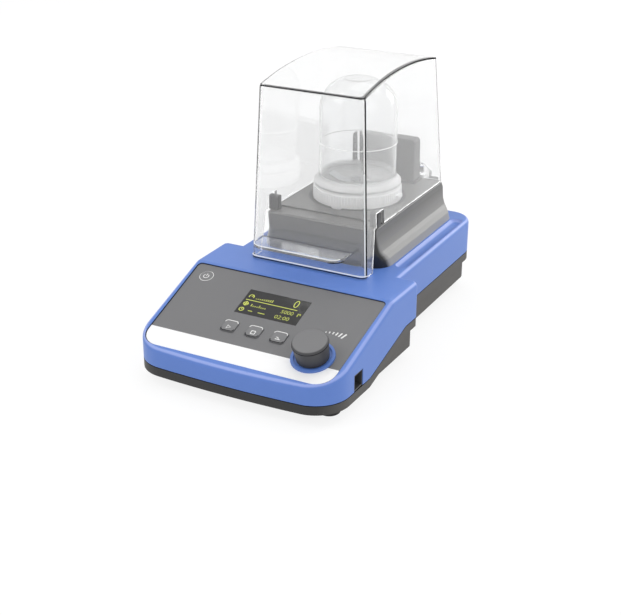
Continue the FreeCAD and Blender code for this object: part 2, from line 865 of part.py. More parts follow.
tray_shell.Tool = tray_hollow

# Posts that carry the case screws up to the bosses of the top shell.
case_posts = new_body("case_posts")
post_plan = new_sketch(case_posts, "PostPlan", lift=tray_floor)
for x, y in case_bosses:
    ring(post_plan, x, y, d.case_boss_round)
pad(case_posts, "PostPad", post_plan, boss_foot - tray_floor)

# What is cut out of the tray from below: screw wells, foot sockets and the cooling slots.
tray_cuts = new_body("tray_cuts")
wells = new_sketch(tray_cuts, "ScrewWells")
for x, y in case_bosses:
    ring(wells, x, y, d.case_well_round)
pad(tray_cuts, "WellPad", wells, case_head_seat)
clearances = new_sketch(tray_cuts, "ScrewClearances")
for x, y in case_bosses:
    ring(clearances, x, y, d.case_screw_round + d.screw_gap)
pad(tray_cuts, "ClearancePad", clearances, d.deck_height)
sockets = new_sketch(tray_cuts, "FootSockets")
for x, y in feet.values():
    ring(sockets, x, y, d.foot_round + d.screw_gap)
pad(tray_cuts, "SocketPad", sockets, d.base_clear + d.foot_socket)
power_pilots = new_sketch(tray_cuts, "PowerPilots", lift=tray_floor + d.cut_past)
for x, y in power_posts:
    ring(power_pilots, x, y, d.board_screw_round + d.press_gap)
pad(tray_cuts, "PowerPilotPad", power_pilots, d.power_board_rise)
slot = new_sketch(tray_cuts, "CoolingSlot")
slot_reach = d.vent_pitch * (d.vent_slots - 1)
rounded(slot, -slot_reach / 2 - d.vent_width / 2, d.vent_width / 2 - slot_reach / 2,
        tube_y - d.vent_length / 2, tube_y + d.vent_length / 2, d.vent_width * 0.45)
first_slot = pad(tray_cuts, "CoolingSlotPad", slot, tray_floor + d.cut_past)
slot_row = tray_cuts.newObject("PartDesign::LinearPattern", "CoolingSlotRow")
slot_row.Originals = [first_slot]
slot_row.Direction = (origin_part(tray_cuts, "X_Axis"), [""])
slot_row.Occurrences = int(d.vent_slots.value)
bind(slot_row, "Length", slot_reach)
tray_cuts.Tip = slot_row
tray_whole = doc.addObject("Part::MultiFuse", "TrayWhole")
tray_whole.Shapes = [tray_shell, case_posts]
tray = doc.addObject("Part::Cut", "TrayCut")
tray.Base = tray_whole
tray.Tool = tray_cuts
keep(tray, "base_tray")


# MILL BLOCK
# A hollow casting that flares out to its foot, with its front drawn in there and its rear edge rounded.
block_height = d.block_top - d.deck_height


def block_section(body, name, rise, half_width, corner, lean=0, inset=0, rear_inset=0):
    share = as_size(rise) / block_height
    front = d.block_top_station + (d.block_foot_station - d.block_top_station) * lean + inset
    rear = d.block_foot_rear_station + (d.block_top_rear_station - d.block_foot_rear_station) * share
    sketch = new_sketch(body, name, lift=d.deck_height + rise)
    return rounded(sketch, inset - half_width, half_width - inset, station(front), station(rear - rear_inset),
                   corner, corner * 0.6)


block = new_body("mill_block")
# The flare, each as a share: its rise above the deck, its spread at the sides, its lean at the front.
flare_shares = ((0, 1, 1), (0.33, 0.79, 0.6), (0.53, 0.51, 0.1), (0.71, 0.23, -0.2), (1, 0, -0.2))
sections = []
for rise, spread, lean in flare_shares:
    half = d.block_mid_half_width + (d.block_foot_half_width - d.block_mid_half_width) * spread
    corner = d.block_mid_corner + (d.block_foot_corner - d.block_mid_corner) * spread
    sections.append(block_section(block, "Flare", d.block_flare_rise * rise, half, corner, lean))
step_top = d.block_top - d.front_step_depth
step_rise = step_top - d.deck_height
top_half = d.block_top_half_width
sections.append(block_section(block, "RearBreak", step_rise - d.block_rear_round, top_half, d.block_top_corner))
sections.append(block_section(block, "Shoulder", step_rise - d.block_edge, top_half, d.block_top_corner,
                              rear_inset=d.block_rear_round * 0.4))
sections.append(block_section(block, "Bevel", step_rise, top_half, d.block_top_corner, inset=d.block_edge,
                              rear_inset=d.block_rear_round))
walls = block.newObject("PartDesign::AdditiveLoft", "BlockWalls")
walls.Profile = sections[0]
walls.Sections = sections[1:]
walls.Ruled = True
top_plate = new_sketch(block, "TopPlate", lift=step_top)
plate_half = top_half - d.block_edge
plate_rear = station(d.block_top_rear_station - d.block_rear_round)
rounded(top_plate, -plate_half, plate_half, station(d.front_step_station), plate_rear,
        d.block_edge / 2, d.block_top_corner * 0.6)
pad(block, "TopPlatePad", top_plate, d.front_step_depth)
block_hollow = new_sketch(block, "BlockHollow", lift=d.deck_height)
rounded(block_hollow, -block_inner_half, block_inner_half, block_inner_front, block_inner_rear,
        d.block_inner_corner)
pocket(block, "BlockHollowCut", block_hollow, block_height - d.block_ceiling, back=True)
ring_round = d.lid_round + d.socket_gap + d.socket_ring_wall
socket_floor = d.block_top - d.socket_depth
block_under = d.block_top - d.block_ceiling
pocket(block, "SocketCut", ring(new_sketch(block, "Socket", lift=d.block_top), 0, tube_y,
                                ring_round + d.screw_gap), d.socket_depth)
pocket(block, "DriveBoreCut", ring(new_sketch(block, "DriveBore", lift=d.block_top), 0, tube_y,
                                   d.drive_bore_round), d.block_ceiling + d.cut_past)
block_pilots = new_sketch(block, "BlockPilots", lift=d.deck_height)
for x, y in block_screws:
    ring(block_pilots, x, y, d.block_screw_round + d.press_gap)
pocket(block, "BlockPilotCut", block_pilots, d.block_screw_bite, back=True)
damper_places = [(d.damper_reach * a, tube_y + d.damper_reach * b) for a in (-1, 1) for b in (-1, 1)]
motor_pilots = new_sketch(block, "MotorPilots", lift=block_under)
for x, y in damper_places:
    ring(motor_pilots, x, y, d.motor_screw_round + d.press_gap)
pocket(block, "MotorPilotCut", motor_pilots, d.motor_screw_bite, back=True)
keep(block, "mill_block")


def cylinder(label, x, y, z, radius, length):
    # A plain upright cylinder, used for pins, screws and bushes.
    part = doc.addObject("Part::Cylinder", label)
    bind(part, "Radius", radius)
    bind(part, "Height", length)
    return place(part, x, y, z)


def screws(label, places, head_z, head_round, head_depth, shank_round, top_z):
    # Upright screws with their heads at the bottom, all alike, as one node of separate solids.
    bodies = []
    for index, (x, y) in enumerate(places):
        head = cylinder(f"{label}_head{index}", x, y, head_z, head_round, head_depth)
        shank = cylinder(f"{label}_shank{index}", x, y, head_z + head_depth, shank_round,
                         top_z - head_z - head_depth)
        screw = doc.addObject("Part::Fuse", f"{label}_{index}")
        screw.Base = head
        screw.Tool = shank
        bodies.append(screw)
    group = doc.addObject("Part::Compound", label + "_set")
    group.Links = bodies
    return keep(group, label)


screws("case_screws", case_bosses, case_head_seat - d.case_head_depth, d.case_head_round, d.case_head_depth,
       d.case_screw_round - 0.02, boss_foot + d.case_screw_bite - 1)
screws("block_screws", block_screws, ceiling - d.case_head_depth - 0.05, d.case_head_round, d.case_head_depth,
       d.block_screw_round, d.deck_height + d.block_screw_bite - 1)

# Rubber feet, each pressed into its socket under the tray.
for name, (x, y) in feet.items():
    foot = new_body(name)
    profile = new_sketch(foot, "FootProfile", plane="XZ_Plane")
    outline(profile, [(0, 0), (d.foot_round - 1.6, 0, 1.2), (d.foot_round - 0.4, 1.2), (d.foot_round, d.base_clear),
                      (d.foot_round, d.base_clear + d.foot_socket - 0.05), (0, d.base_clear + d.foot_socket - 0.05)])
    turned(foot, "FootTurned", profile)
    place(foot, x, y)
    keep(foot, name)

# Sensor tower behind the tube, with its foot flange and a slim board inside.
tower = new_body("sensor_tower")
tower_side = new_sketch(tower, "TowerSide", plane="YZ_Plane")
outline(tower_side, [
    (station(d.tower_front_station), d.block_top), (station(d.tower_rear_foot_station), d.block_top),
    (station(d.tower_rear_top_station), d.tower_top), (station(d.tower_front_station), d.tower_top)])
pad(tower, "TowerPad", tower_side, d.tower_half_width * 2, both=True)
dress(tower, "Fillet", "TowerTopCorners", lambda edge, p, way: (
    near(p.z, d.tower_top) and near(abs(p.x), d.tower_half_width)), d.tower_corner)
dress(tower, "Fillet", "TowerFrontEdge", lambda edge, p, way: (
    near(p.y, station(d.tower_front_station)) and p.z > d.block_top.value + 1), d.tower_edge)
flange = new_sketch(tower, "TowerFlange", lift=d.block_top)
rectangle(flange, -d.tower_half_width - d.tower_flange, d.tower_half_width + d.tower_flange,
          station(d.tower_front_station) - d.tower_flange, station(d.tower_rear_foot_station))
pad(tower, "TowerFlangePad", flange, d.tower_flange_thickness)
tower_space = new_sketch(tower, "TowerSpace", lift=d.block_top)
rectangle(tower_space, d.tower_wall - d.tower_half_width, d.tower_half_width - d.tower_wall,
          station(d.tower_front_station) + d.tower_wall, station(d.tower_rear_top_station) - d.tower_wall)
pocket(tower, "TowerSpaceCut", tower_space, d.tower_top - d.block_top - d.tower_wall, back=True)
keep(tower, "sensor_tower")
sensor = new_body("hood_sensor_board")
sensor_y = station(d.tower_front_station) + d.tower_wall + 1.2
sensor_plan = new_sketch(sensor, "SensorPlan", lift=d.block_top + 0.05)
rectangle(sensor_plan, d.tower_wall + 1 - d.tower_half_width, d.tower_half_width - d.tower_wall - 1,
          sensor_y, sensor_y + d.board_thickness)
pad(sensor, "SensorPad", sensor_plan, d.sensor_board_height)
reed = new_sketch(sensor, "ReedSwitch", lift=d.block_top + d.sensor_board_height - 5)
rectangle(reed, -8, 8, sensor_y + d.board_thickness, sensor_y + d.board_thickness + 2.4)
pad(sensor, "ReedSwitchPad", reed, 2.4)
keep(sensor, "hood_sensor_board")

# Guide lugs at the front corners of the block, which stand in the notches of the hood.
guide_front = station(d.guide_station)
for name, side in (("guide_left", -1), ("guide_right", 1)):
    lug = new_body(name)
    plan = new_sketch(lug, "LugPlan", lift=step_top)
    near_x, far_x = (d.guide_inner, d.guide_outer) if side > 0 else (-d.guide_outer, -d.guide_inner)
    rectangle(plan, near_x, far_x, guide_front, guide_front + d.guide_length)
    pad(lug, "LugPad", plan, d.guide_height + d.front_step_depth)
    guide_top = d.block_top + d.guide_height
    dress(lug, "Fillet", "LugTop", lambda edge, p, way: near(p.z, guide_top) and abs(way.x) > 0.9,
          d.guide_top_round)
    keep(lug, name)

# HOOD
# A clear moulded hood: four drafted walls under a gently vaulted roof.
hood_foot = d.deck_height + d.hood_gap
side_foot = d.block_top + d.hood_gap


def hood_solid(name, inset, foot):
    # The hood as a solid block, all its faces moved inwards by inset.
    body = new_body(name)
    inset = as_size(inset)
    low = new_sketch(body, "HoodFoot", lift=foot)
    rounded(low, inset - d.hood_foot_half_width, d.hood_foot_half_width - inset,
            station(d.hood_foot_station) + inset, station(d.hood_foot_rear_station) - inset, d.hood_corner - inset)
    high = new_sketch(body, "HoodTop", lift=d.hood_loft_top)
    rounded(high, inset - d.hood_top_half_width, d.hood_top_half_width - inset,
            station(d.hood_top_station) + inset, station(d.hood_top_rear_station) - inset, d.hood_corner - inset)
    walls = body.newObject("PartDesign::AdditiveLoft", "HoodWalls")
    walls.Profile = low
    walls.Sections = [high]
    walls.Ruled = True
    roof = new_sketch(body, "RoofLine", plane="YZ_Plane")
    half_span = d.hood_roof_half_span
    sag = d.hood_roof_radius - root(d.hood_roof_radius * d.hood_roof_radius - half_span * half_span)
    crown_y = station(d.hood_crown_station)
    eaves = d.hood_height - inset - sag
    outline(roof, [
        (crown_y + half_span, eaves, d.hood_roof_radius), (crown_y - half_span, eaves),
        (crown_y - half_span, far), (crown_y + half_span, far)])
    pocket(body, "RoofCut", roof, far, both=True)
    return body


hood_outer = hood_solid("hood_outer", 0, hood_foot)
dress(hood_outer, "Fillet", "RoofEdge", lambda edge, p, way: (
    p.z > d.hood_height.value * 0.93 and abs(way.z) < 0.6), d.hood_roof_edge)
hood_core = hood_solid("hood_core", d.hood_wall, hood_foot)
hood_shell = doc.addObject("Part::Cut", "HoodShell")
hood_shell.Base = hood_outer
hood_shell.Tool = hood_core

# What is trimmed from the side walls: all below the block's top behind the apron, and the notches.
trim = new_body("hood_trim")
trim_side = new_sketch(trim, "TrimSide", plane="YZ_Plane")
apron_y = station(d.hood_foot_station) + d.apron_depth
outline(trim_side, [
    (apron_y, 0), (far, 0), (far, side_foot), (apron_y + d.apron_lean, side_foot), (apron_y, hood_foot)])
pad(trim, "TrimSidePad", trim_side, far, both=True)
notch = new_sketch(trim, "Notch", plane="YZ_Plane")
notch_front = guide_front - d.notch_front_gap
notch_rear = guide_front + d.guide_length + d.notch_rear_gap
rectangle(notch, notch_front, notch_rear, side_foot - d.cut_past, d.block_top + d.guide_height + d.notch_top_gap)
pad(trim, "NotchPad", notch, far, both=True)
hood_trimmed = doc.addObject("Part::Cut", "HoodTrimmed")
hood_trimmed.Base = hood_shell
hood_trimmed.Tool = trim

# The finger grip on the front wall, and the two hinge ears behind the rear wall.
grip = new_body("hood_grip")
grip_plan = new_sketch(grip, "GripPlan", lift=d.grip_top - d.grip_thickness)
grip_back = station(d.hood_foot_station) + d.hood_wall * 0.8
grip_front = station(d.hood_foot_station) - d.grip_reach
outline(grip_plan, [
    (d.grip_corner - d.grip_half_width, grip_front), (d.grip_half_width - d.grip_corner, grip_front, d.grip_corner),
    (d.grip_half_width, grip_front + d.grip_corner), (d.grip_half_width, grip_back),
    (-d.grip_half_width, grip_back), (-d.grip_half_width, grip_front + d.grip_corner, d.grip_corner)])
pad(grip, "GripPad", grip_plan, d.grip_thickness)
dress(grip, "Fillet", "GripEdge", lambda edge, p, way: (
    abs(way.z) < 0.01 and p.y < grip_back.value - 1), d.grip_edge)
hinge_y = station(d.hinge_station)
eye = d.hinge_eye_round
wall_y = station(d.hood_foot_rear_station - d.ear_root)
ear_foot = side_foot + d.ear_lift
ears = new_body("hood_ears")
for ear_place in (d.ear_inner, -d.ear_inner - d.ear_thickness):
    arm = new_sketch(ears, "Arm", plane="YZ_Plane", lift=ear_place)
    outline(arm, [(wall_y, ear_foot + d.ear_rise), (wall_y, ear_foot), (hinge_y + eye, ear_foot)])
    pad(ears, "ArmPad", arm, d.ear_thickness)
    strap = new_sketch(ears, "Strap", plane="YZ_Plane", lift=ear_place)
    rectangle(strap, hinge_y - eye, hinge_y + eye, d.hinge_height, ear_foot)
    pad(ears, "StrapPad", strap, d.ear_thickness)
    knuckle = ring(new_sketch(ears, "Knuckle", plane="YZ_Plane", lift=ear_place), hinge_y, d.hinge_height, eye)
    pad(ears, "KnucklePad", knuckle, d.ear_thickness)
pin_bore = ring(new_sketch(ears, "PinBore", plane="YZ_Plane"), hinge_y, d.hinge_height,
                d.hinge_pin_round + d.pin_fit)
pocket(ears, "PinBoreCut", pin_bore, far, both=True)
hood = doc.addObject("Part::MultiFuse", "HoodWhole")
hood.Shapes = [hood_trimmed, grip, ears]
keep(hood, "hood")

# Hinge posts on the deck behind the block, and the pins through posts and ears.
post_inner = d.ear_inner + d.ear_thickness + d.post_gap
for name, side in (("hinge_post_left", -1), ("hinge_post_right", 1)):
    post = new_body(name)
    post_side = new_sketch(post, "PostSide", plane="YZ_Plane",
                           lift=(post_inner if side > 0 else -post_inner - d.post_thickness))
    post_front = station(d.block_foot_rear_station) + d.post_block_gap
    outline(post_side, [
        (post_front, d.deck_height), (post_front + d.post_foot_length, d.deck_height),
        (hinge_y + eye, d.hinge_height, eye), (hinge_y - eye, d.hinge_height)])
    ring(post_side, hinge_y, d.hinge_height, d.hinge_pin_round + d.press_gap)
    pad(post, "PostPad", post_side, d.post_thickness)
    keep(post, name)
pins = []
pin_length = d.ear_thickness + d.post_gap + d.post_thickness + d.cut_past * 2
for side in (-1, 1):
    pin = doc.addObject("Part::Cylinder", "HingePin")
    bind(pin, "Radius", d.hinge_pin_round)
    bind(pin, "Height", pin_length)
    start = d.ear_inner - d.cut_past if side > 0 else -d.ear_inner + d.cut_past - pin_length
    pin.Placement = FreeCAD.Placement(FreeCAD.Vector(start.value, hinge_y.value, d.hinge_height.value),
                                      FreeCAD.Rotation(FreeCAD.Vector(0, 1, 0), 90))
    bind(pin, "Placement.Base.x", start)
    bind(pin, "Placement.Base.y", hinge_y)
    bind(pin, "Placement.Base.z", d.hinge_height)
    pins.append(pin)
hinge_pins = doc.addObject("Part::Compound", "HingePins")
hinge_pins.Links = pins
keep(hinge_pins, "hinge_pins")

# GRINDING TUBE
# The screw lid below, standing in its socket, and the clear dome screwed into it.
def turned_part(label, points, x=0, y=tube_y):
    # A body of revolution about an upright axis, kept under its label by the caller.
    body = new_body(label)
    profile = new_sketch(body, "Profile", plane="XZ_Plane")
    outline(profile, points)
    turned(body, "Turned", profile)
    return place(body, x, y)


def washer(label, inner, outer, low, high, x=0, y=tube_y):
    return turned_part(label, [(inner, low), (outer, low), (outer, high), (inner, high)], x, y)


def hexagon(sketch, across_flats, y=0):
    # A hexagon with two corners on the X axis.
    long = as_size(across_flats) / math.sqrt(3)
    flat = as_size(across_flats) / 2
    return outline(sketch, [(long / 2, y - flat), (long, y), (long / 2, y + flat), (-long / 2, y + flat),
                            (-long, y), (-long / 2, y - flat)])


socket = new_body("tube_socket")
socket_plan = new_sketch(socket, "SocketPlan", lift=socket_floor)
ring(socket_plan, 0, 0, ring_round, d.lid_round + d.socket_gap)
pad(socket, "SocketPad", socket_plan, d.socket_depth)
entries = new_sketch(socket, "TabEntries", lift=d.block_top)
rectangle(entries, -d.lid_tab_width / 2 - d.tab_entry_gap, d.lid_tab_width / 2 + d.tab_entry_gap,
          -ring_round - d.cut_past, ring_round + d.cut_past)
pocket(socket, "TabEntryCut", entries, d.socket_depth / 2)
place(socket, 0, tube_y)
keep(socket, "tube_socket")

lid_foot = socket_floor + d.tube_seat_gap
lid_floor_top = lid_foot + d.lid_floor
lid_top = lid_foot + d.lid_height
lid_rim_top = lid_top + d.lid_rim_rise
hub_top = lid_floor_top + d.lid_hub_rise
pocket_top = lid_foot + d.dog_pocket_depth
bush_bore = d.spindle_round + d.bush_wall
lid_inner = d.lid_round - d.lid_wall
lid = turned_part("tube_lid", [
    (d.dog_pocket_round, lid_foot), (d.lid_round, lid_foot), (d.lid_round, lid_top), (d.lid_rim_round, lid_top),
    (d.lid_rim_round, lid_rim_top), (lid_inner, lid_rim_top), (lid_inner, lid_floor_top),
    (d.lid_hub_round, lid_floor_top), (d.lid_hub_round, hub_top), (bush_bore, hub_top),
    (bush_bore, pocket_top), (d.dog_pocket_round, pocket_top)])
for side in (-1, 1):
    tab = new_sketch(lid, "Tab", lift=lid_foot + d.lid_tab_rise)
    inner, outer = (lid_inner + 0.5, d.lid_tab_reach)
    tab_x = (inner, outer) if side > 0 else (-outer, -inner)
    rectangle(tab, *tab_x, -d.lid_tab_width / 2, d.lid_tab_width / 2)
    pad(lid, "TabPad", tab, d.lid_tab_thickness)
keep(lid, "tube_lid")
keep(washer("blade_bush", d.spindle_round + d.running_fit, bush_bore - d.press_gap, pocket_top, hub_top),
     "blade_bush")
seal_outer = lid_inner - d.dome_neck_gap
seal_top = lid_floor_top + d.seal_thickness
keep(washer("lid_seal", seal_outer - d.seal_band, seal_outer, lid_floor_top, seal_top), "lid_seal")

neck_foot = seal_top + 0.1
flange_foot = lid_rim_top + d.dome_flange_gap
flange_top = flange_foot + d.dome_flange_thickness
shoulder = flange_top + d.dome_shoulder_rise
arc_foot = lid_foot + d.dome_shoulder_height
arc_rise = d.dome_height - d.dome_shoulder_height
arc_run = d.dome_round - d.dome_flat_round
arc_round = (arc_run * arc_run + arc_rise * arc_rise) / (arc_run * 2)
arc_centre = d.dome_round - arc_round
inner_round = arc_round - d.dome_wall
inner_rise = arc_rise - d.dome_wall
inner_flat = arc_centre + root(inner_round * inner_round - inner_rise * inner_rise)
dome_inner = d.dome_round - d.dome_wall
dome_top = arc_foot + arc_rise
dome = turned_part("tube_dome", [
    (dome_inner, neck_foot), (seal_outer, neck_foot), (seal_outer, flange_foot), (d.dome_flange_round, flange_foot),
    (d.dome_flange_round, flange_top), (d.dome_round, shoulder), (d.dome_round, arc_foot, arc_round),
    (d.dome_flat_round, dome_top), (0, dome_top), (0, dome_top - d.dome_wall),
    (inner_flat, dome_top - d.dome_wall, -inner_round), (dome_inner, arc_foot)])
keep(dome, "tube_dome")

# The blade drive inside the tube: a driven dog on its spindle, the bent blade and its nut.
dog_foot = socket_floor + d.dog_lift
dog_top = dog_foot + d.dog_height
blade_foot = hub_top + d.blade_gap
blade_top = blade_foot + d.blade_thickness
nut_foot = blade_top + 0.05
spindle_top = nut_foot + d.nut_height
spindle = turned_part("blade_spindle", [
    (0, dog_foot), (d.dog_round, dog_foot), (d.dog_round, dog_top), (d.spindle_round, dog_top),
    (d.spindle_round, spindle_top), (0, spindle_top)])
pocket(spindle, "HexSocketCut", hexagon(new_sketch(spindle, "HexSocket", lift=dog_foot),
                                        d.drive_hex + d.drive_hex_gap * 2), d.dog_socket_depth, back=True)
keep(spindle, "blade_spindle")
blade = new_body("blade")
blade_side = new_sketch(blade, "BladeSide", plane="XZ_Plane", lift=-tube_y)
tip = d.blade_length / 2
bend = tip - d.blade_width
outline(blade_side, [
    (-tip, blade_foot + d.blade_tip_rise), (-bend, blade_foot), (bend, blade_foot),
    (tip, blade_foot + d.blade_tip_rise), (tip, blade_top + d.blade_tip_rise), (bend, blade_top),
    (-bend, blade_top), (-tip, blade_top + d.blade_tip_rise)])
pad(blade, "BladePad", blade_side, d.blade_width, both=True)
pocket(blade, "BladeHoleCut", ring(new_sketch(blade, "BladeHole", lift=blade_top + d.cut_past), 0, tube_y,
                                   d.spindle_round + d.press_gap), d.blade_thickness + d.cut_past * 2)
keep(blade, "blade")
nut = new_body("blade_nut")
nut_plan = hexagon(new_sketch(nut, "NutPlan", lift=nut_foot), d.nut_across)
ring(nut_plan, 0, 0, d.spindle_round + d.press_gap)
pad(nut, "NutPad", nut_plan, d.nut_height)
place(nut, 0, tube_y)
keep(nut, "blade_nut")

# MOTOR
# It hangs under the block on four rubber dampers, with its fan below.
plate_top = block_under - d.damper_height
can_top = plate_top - d.motor_plate_thickness
can_foot = can_top - d.motor_length
cap_top = can_foot + d.motor_cap
drive_foot = block_under + d.seal_width + 0.7
drive_disc_top = drive_foot + d.drive_disc_thickness
drive_hex_top = drive_disc_top + d.drive_hex_height
shaft_top = drive_disc_top + d.drive_disc_thickness
fan_top = can_foot - d.fan_gap
fan_foot = fan_top - d.fan_width
shaft_bore = d.shaft_round + d.press_gap
screw_bore = d.motor_screw_round + d.screw_gap
keep(washer("shaft_seal", d.shaft_round + d.running_fit, d.drive_bore_round - 0.05, block_under + 0.2,
            block_under + 0.2 + d.seal_width), "shaft_seal")
drive = washer("drive_dog", 0, d.drive_disc_round, drive_foot, drive_disc_top)
pad(drive, "DriveHexPad", hexagon(new_sketch(drive, "DriveHex", lift=drive_disc_top), d.drive_hex),
    d.drive_hex_height)
pocket(drive, "DriveShaftBore", ring(new_sketch(drive, "DriveShaft", lift=drive_foot), 0, 0, shaft_bore),
       shaft_top - drive_foot + 0.05, back=True)
keep(drive, "drive_dog")
shaft = cylinder("motor_shaft", 0, tube_y, fan_foot - 0.8, d.shaft_round, shaft_top - fan_foot + 0.8)
keep(shaft, "motor_shaft")

dampers = new_body("motor_dampers")
damper_plan = new_sketch(dampers, "DamperPlan", lift=plate_top)
for x, y in damper_places:
    ring(damper_plan, x, y, d.damper_round, screw_bore)
pad(dampers, "DamperPad", damper_plan, d.damper_height)
keep(dampers, "motor_dampers")
plate = new_body("motor_plate")
plate_plan = new_sketch(plate, "PlatePlan", lift=can_top)
rounded(plate_plan, -d.motor_plate_half, d.motor_plate_half, tube_y - d.motor_plate_half,
        tube_y + d.motor_plate_half, d.damper_round)
for x, y in damper_places:
    ring(plate_plan, x, y, screw_bore)
ring(plate_plan, 0, tube_y, d.shaft_round + d.rotor_gap)
pad(plate, "PlatePad", plate_plan, d.motor_plate_thickness)
keep(plate, "motor_plate")
screws("motor_screws", damper_places, can_top - d.case_head_depth, d.case_head_round, d.case_head_depth,
       d.motor_screw_round, block_under + d.motor_screw_bite - 0.5)

seat = d.bearing_round + d.press_gap
boss = seat + d.bearing_boss_wall
shaft_hole = d.shaft_round + d.rotor_gap
can_inner = d.motor_round - d.motor_wall
can_ceiling = can_top - d.motor_wall
keep(turned_part("motor_can", [
    (can_inner, cap_top), (d.motor_round, cap_top), (d.motor_round, can_top), (shaft_hole, can_top),
    (shaft_hole, can_ceiling), (seat, can_ceiling), (seat, can_ceiling - d.bearing_width),
    (boss, can_ceiling - d.bearing_width), (boss, can_ceiling), (can_inner, can_ceiling)]), "motor_can")
cap_floor = can_foot + d.motor_wall
keep(turned_part("motor_end_cap", [
    (shaft_hole, can_foot), (d.motor_round, can_foot), (d.motor_round, cap_top - 0.05),
    (can_inner, cap_top - 0.05), (can_inner, cap_floor), (boss, cap_floor), (boss, cap_floor + d.bearing_width),
    (seat, cap_floor + d.bearing_width), (seat, cap_floor), (shaft_hole, cap_floor)]), "motor_end_cap")
bearing_inner = d.shaft_round + d.running_fit
lower_bearing = washer("lower_bearing", bearing_inner, d.bearing_round, cap_floor, cap_floor + d.bearing_width)
upper_bearing = washer("upper_bearing", bearing_inner, d.bearing_round, can_ceiling - d.bearing_width, can_ceiling)
bearings = doc.addObject("Part::Compound", "Bearings")
bearings.Links = [lower_bearing, upper_bearing]
keep(bearings, "motor_bearings")
stack_foot = cap_top + d.stack_gap
stack_top = can_ceiling - d.bearing_width - d.stack_gap
keep(washer("motor_stator", d.rotor_round + d.rotor_gap, can_inner - d.press_gap, stack_foot, stack_top),
     "motor_stator")
keep(washer("motor_rotor", shaft_bore, d.rotor_round, stack_foot + 1, stack_top - 1), "motor_rotor")

fan = new_body("cooling_fan")
fan_disc = ring(new_sketch(fan, "FanDisc", lift=fan_top - d.fan_disc_thickness), 0, 0, d.fan_round)
pad(fan, "FanDiscPad", fan_disc, d.fan_disc_thickness)
fan_hub = ring(new_sketch(fan, "FanHub", lift=fan_foot), 0, 0, d.fan_hub_round)
pad(fan, "FanHubPad", fan_hub, d.fan_width - d.fan_disc_thickness)
vane = new_sketch(fan, "Vane", lift=fan_foot)
rectangle(vane, d.fan_hub_round - 1, d.fan_round, -d.fan_vane / 2, d.fan_vane / 2)
first_vane = pad(fan, "VanePad", vane, d.fan_width - d.fan_disc_thickness)
vanes = fan.newObject("PartDesign::PolarPattern", "Vanes")
vanes.Originals = [first_vane]
vanes.Axis = (origin_part(fan, "Z_Axis"), [""])
vanes.Angle = 360
vanes.Occurrences = int(d.fan_blades.value)
fan.Tip = vanes
pocket(fan, "FanBore", ring(new_sketch(fan, "FanShaft", lift=fan_top + 1), 0, 0, shaft_bore), d.fan_width + 5)
place(fan, 0, tube_y)
keep(fan, "cooling_fan")

# CONTROL PANEL
# Every piece here stands in the panel frame.
def panel_body(label):
    return on_panel(new_body(label))


foil = panel_body("panel_foil")
foil_plan = new_sketch(foil, "FoilPlan", lift=-d.foil_thickness)
foil_outline(foil_plan, 0)
window_outline(foil_plan, d.foil_gap)
for across in key_places.values():
    key_outline(foil_plan, across, d.key_gap)
ring(foil_plan, d.power_across, d.power_up, d.power_round + d.key_gap)
ring(foil_plan, d.knob_across, d.knob_up, d.collar_round + d.foil_gap)
pad(foil, "FoilPad", foil_plan, d.foil_thickness)
keep(foil, "panel_foil")
lens = panel_body("display_window")
lens_plan = window_outline(new_sketch(lens, "LensPlan", lift=-d.foil_thickness), 0)
pad(lens, "LensPad", lens_plan, d.lens_thickness)
keep(lens, "display_window")
display = panel_body("display_module")
module_plan = window_outline(new_sketch(display, "ModulePlan", lift=board_top), d.display_margin)
pad(display, "ModulePad", module_plan, panel_ceiling - board_top - 0.1)
keep(display, "display_module")
board = panel_body("control_board")
board_plan = new_sketch(board, "BoardPlan", lift=board_top - d.board_thickness)
rounded(board_plan, -board_half_width, board_half_width, d.board_front, d.board_rear, d.board_corner)
for across, up in board_places:
    ring(board_plan, across, up, d.board_screw_round + d.screw_gap)
pad(board, "BoardPad", board_plan, d.board_thickness)
keep(board, "control_board")
board_screws = panel_body("board_screws")
heads = new_sketch(board_screws, "Heads", lift=board_top - d.board_thickness - d.board_head_depth)
shanks = new_sketch(board_screws, "Shanks", lift=board_top - d.board_thickness)
for across, up in board_places:
    ring(heads, across, up, d.board_head_round)
    ring(shanks, across, up, d.board_screw_round)
pad(board_screws, "HeadPad", heads, d.board_head_depth)
pad(board_screws, "ShankPad", shanks, d.board_thickness + d.board_screw_bite - 0.5)
keep(board_screws, "board_screws")

flange_high = panel_ceiling - d.key_gap
flange_low = flange_high - d.key_flange_thickness
plunger_top = flange_low - d.key_travel - 0.05
for name, across in key_places.items():
    key = panel_body(name)
    cap_plan = key_outline(new_sketch(key, "CapPlan", lift=flange_high), across, 0)
    pad(key, "CapPad", cap_plan, d.key_rise - flange_high)
    dress(key, "Fillet", "CapEdge", lambda edge, p, way: near(p.z, d.key_rise), d.key_edge)
    rim_plan = key_outline(new_sketch(key, "RimPlan", lift=flange_low), across, d.key_flange)
    pad(key, "RimPad", rim_plan, d.key_flange_thickness)
    keep(key, name)
power = panel_body("power_key")
power_rim = ring(new_sketch(power, "RimPlan", lift=flange_low), d.power_across, d.power_up,
                 d.power_round + d.key_flange)
pad(power, "RimPad", power_rim, d.key_flange_thickness)
power_cap = ring(new_sketch(power, "CapPlan", lift=flange_high), d.power_across, d.power_up, d.power_round)
pad(power, "CapPad", power_cap, d.power_rise - flange_high)
keep(power, "power_key")
switches = panel_body("key_switches")
switch_plan = new_sketch(switches, "SwitchPlan", lift=board_top)
plunger_plan = new_sketch(switches, "PlungerPlan", lift=board_top + d.switch_height)
switch_places = [(across, d.key_up) for across in key_places.values()] + [(d.power_across, d.power_up)]
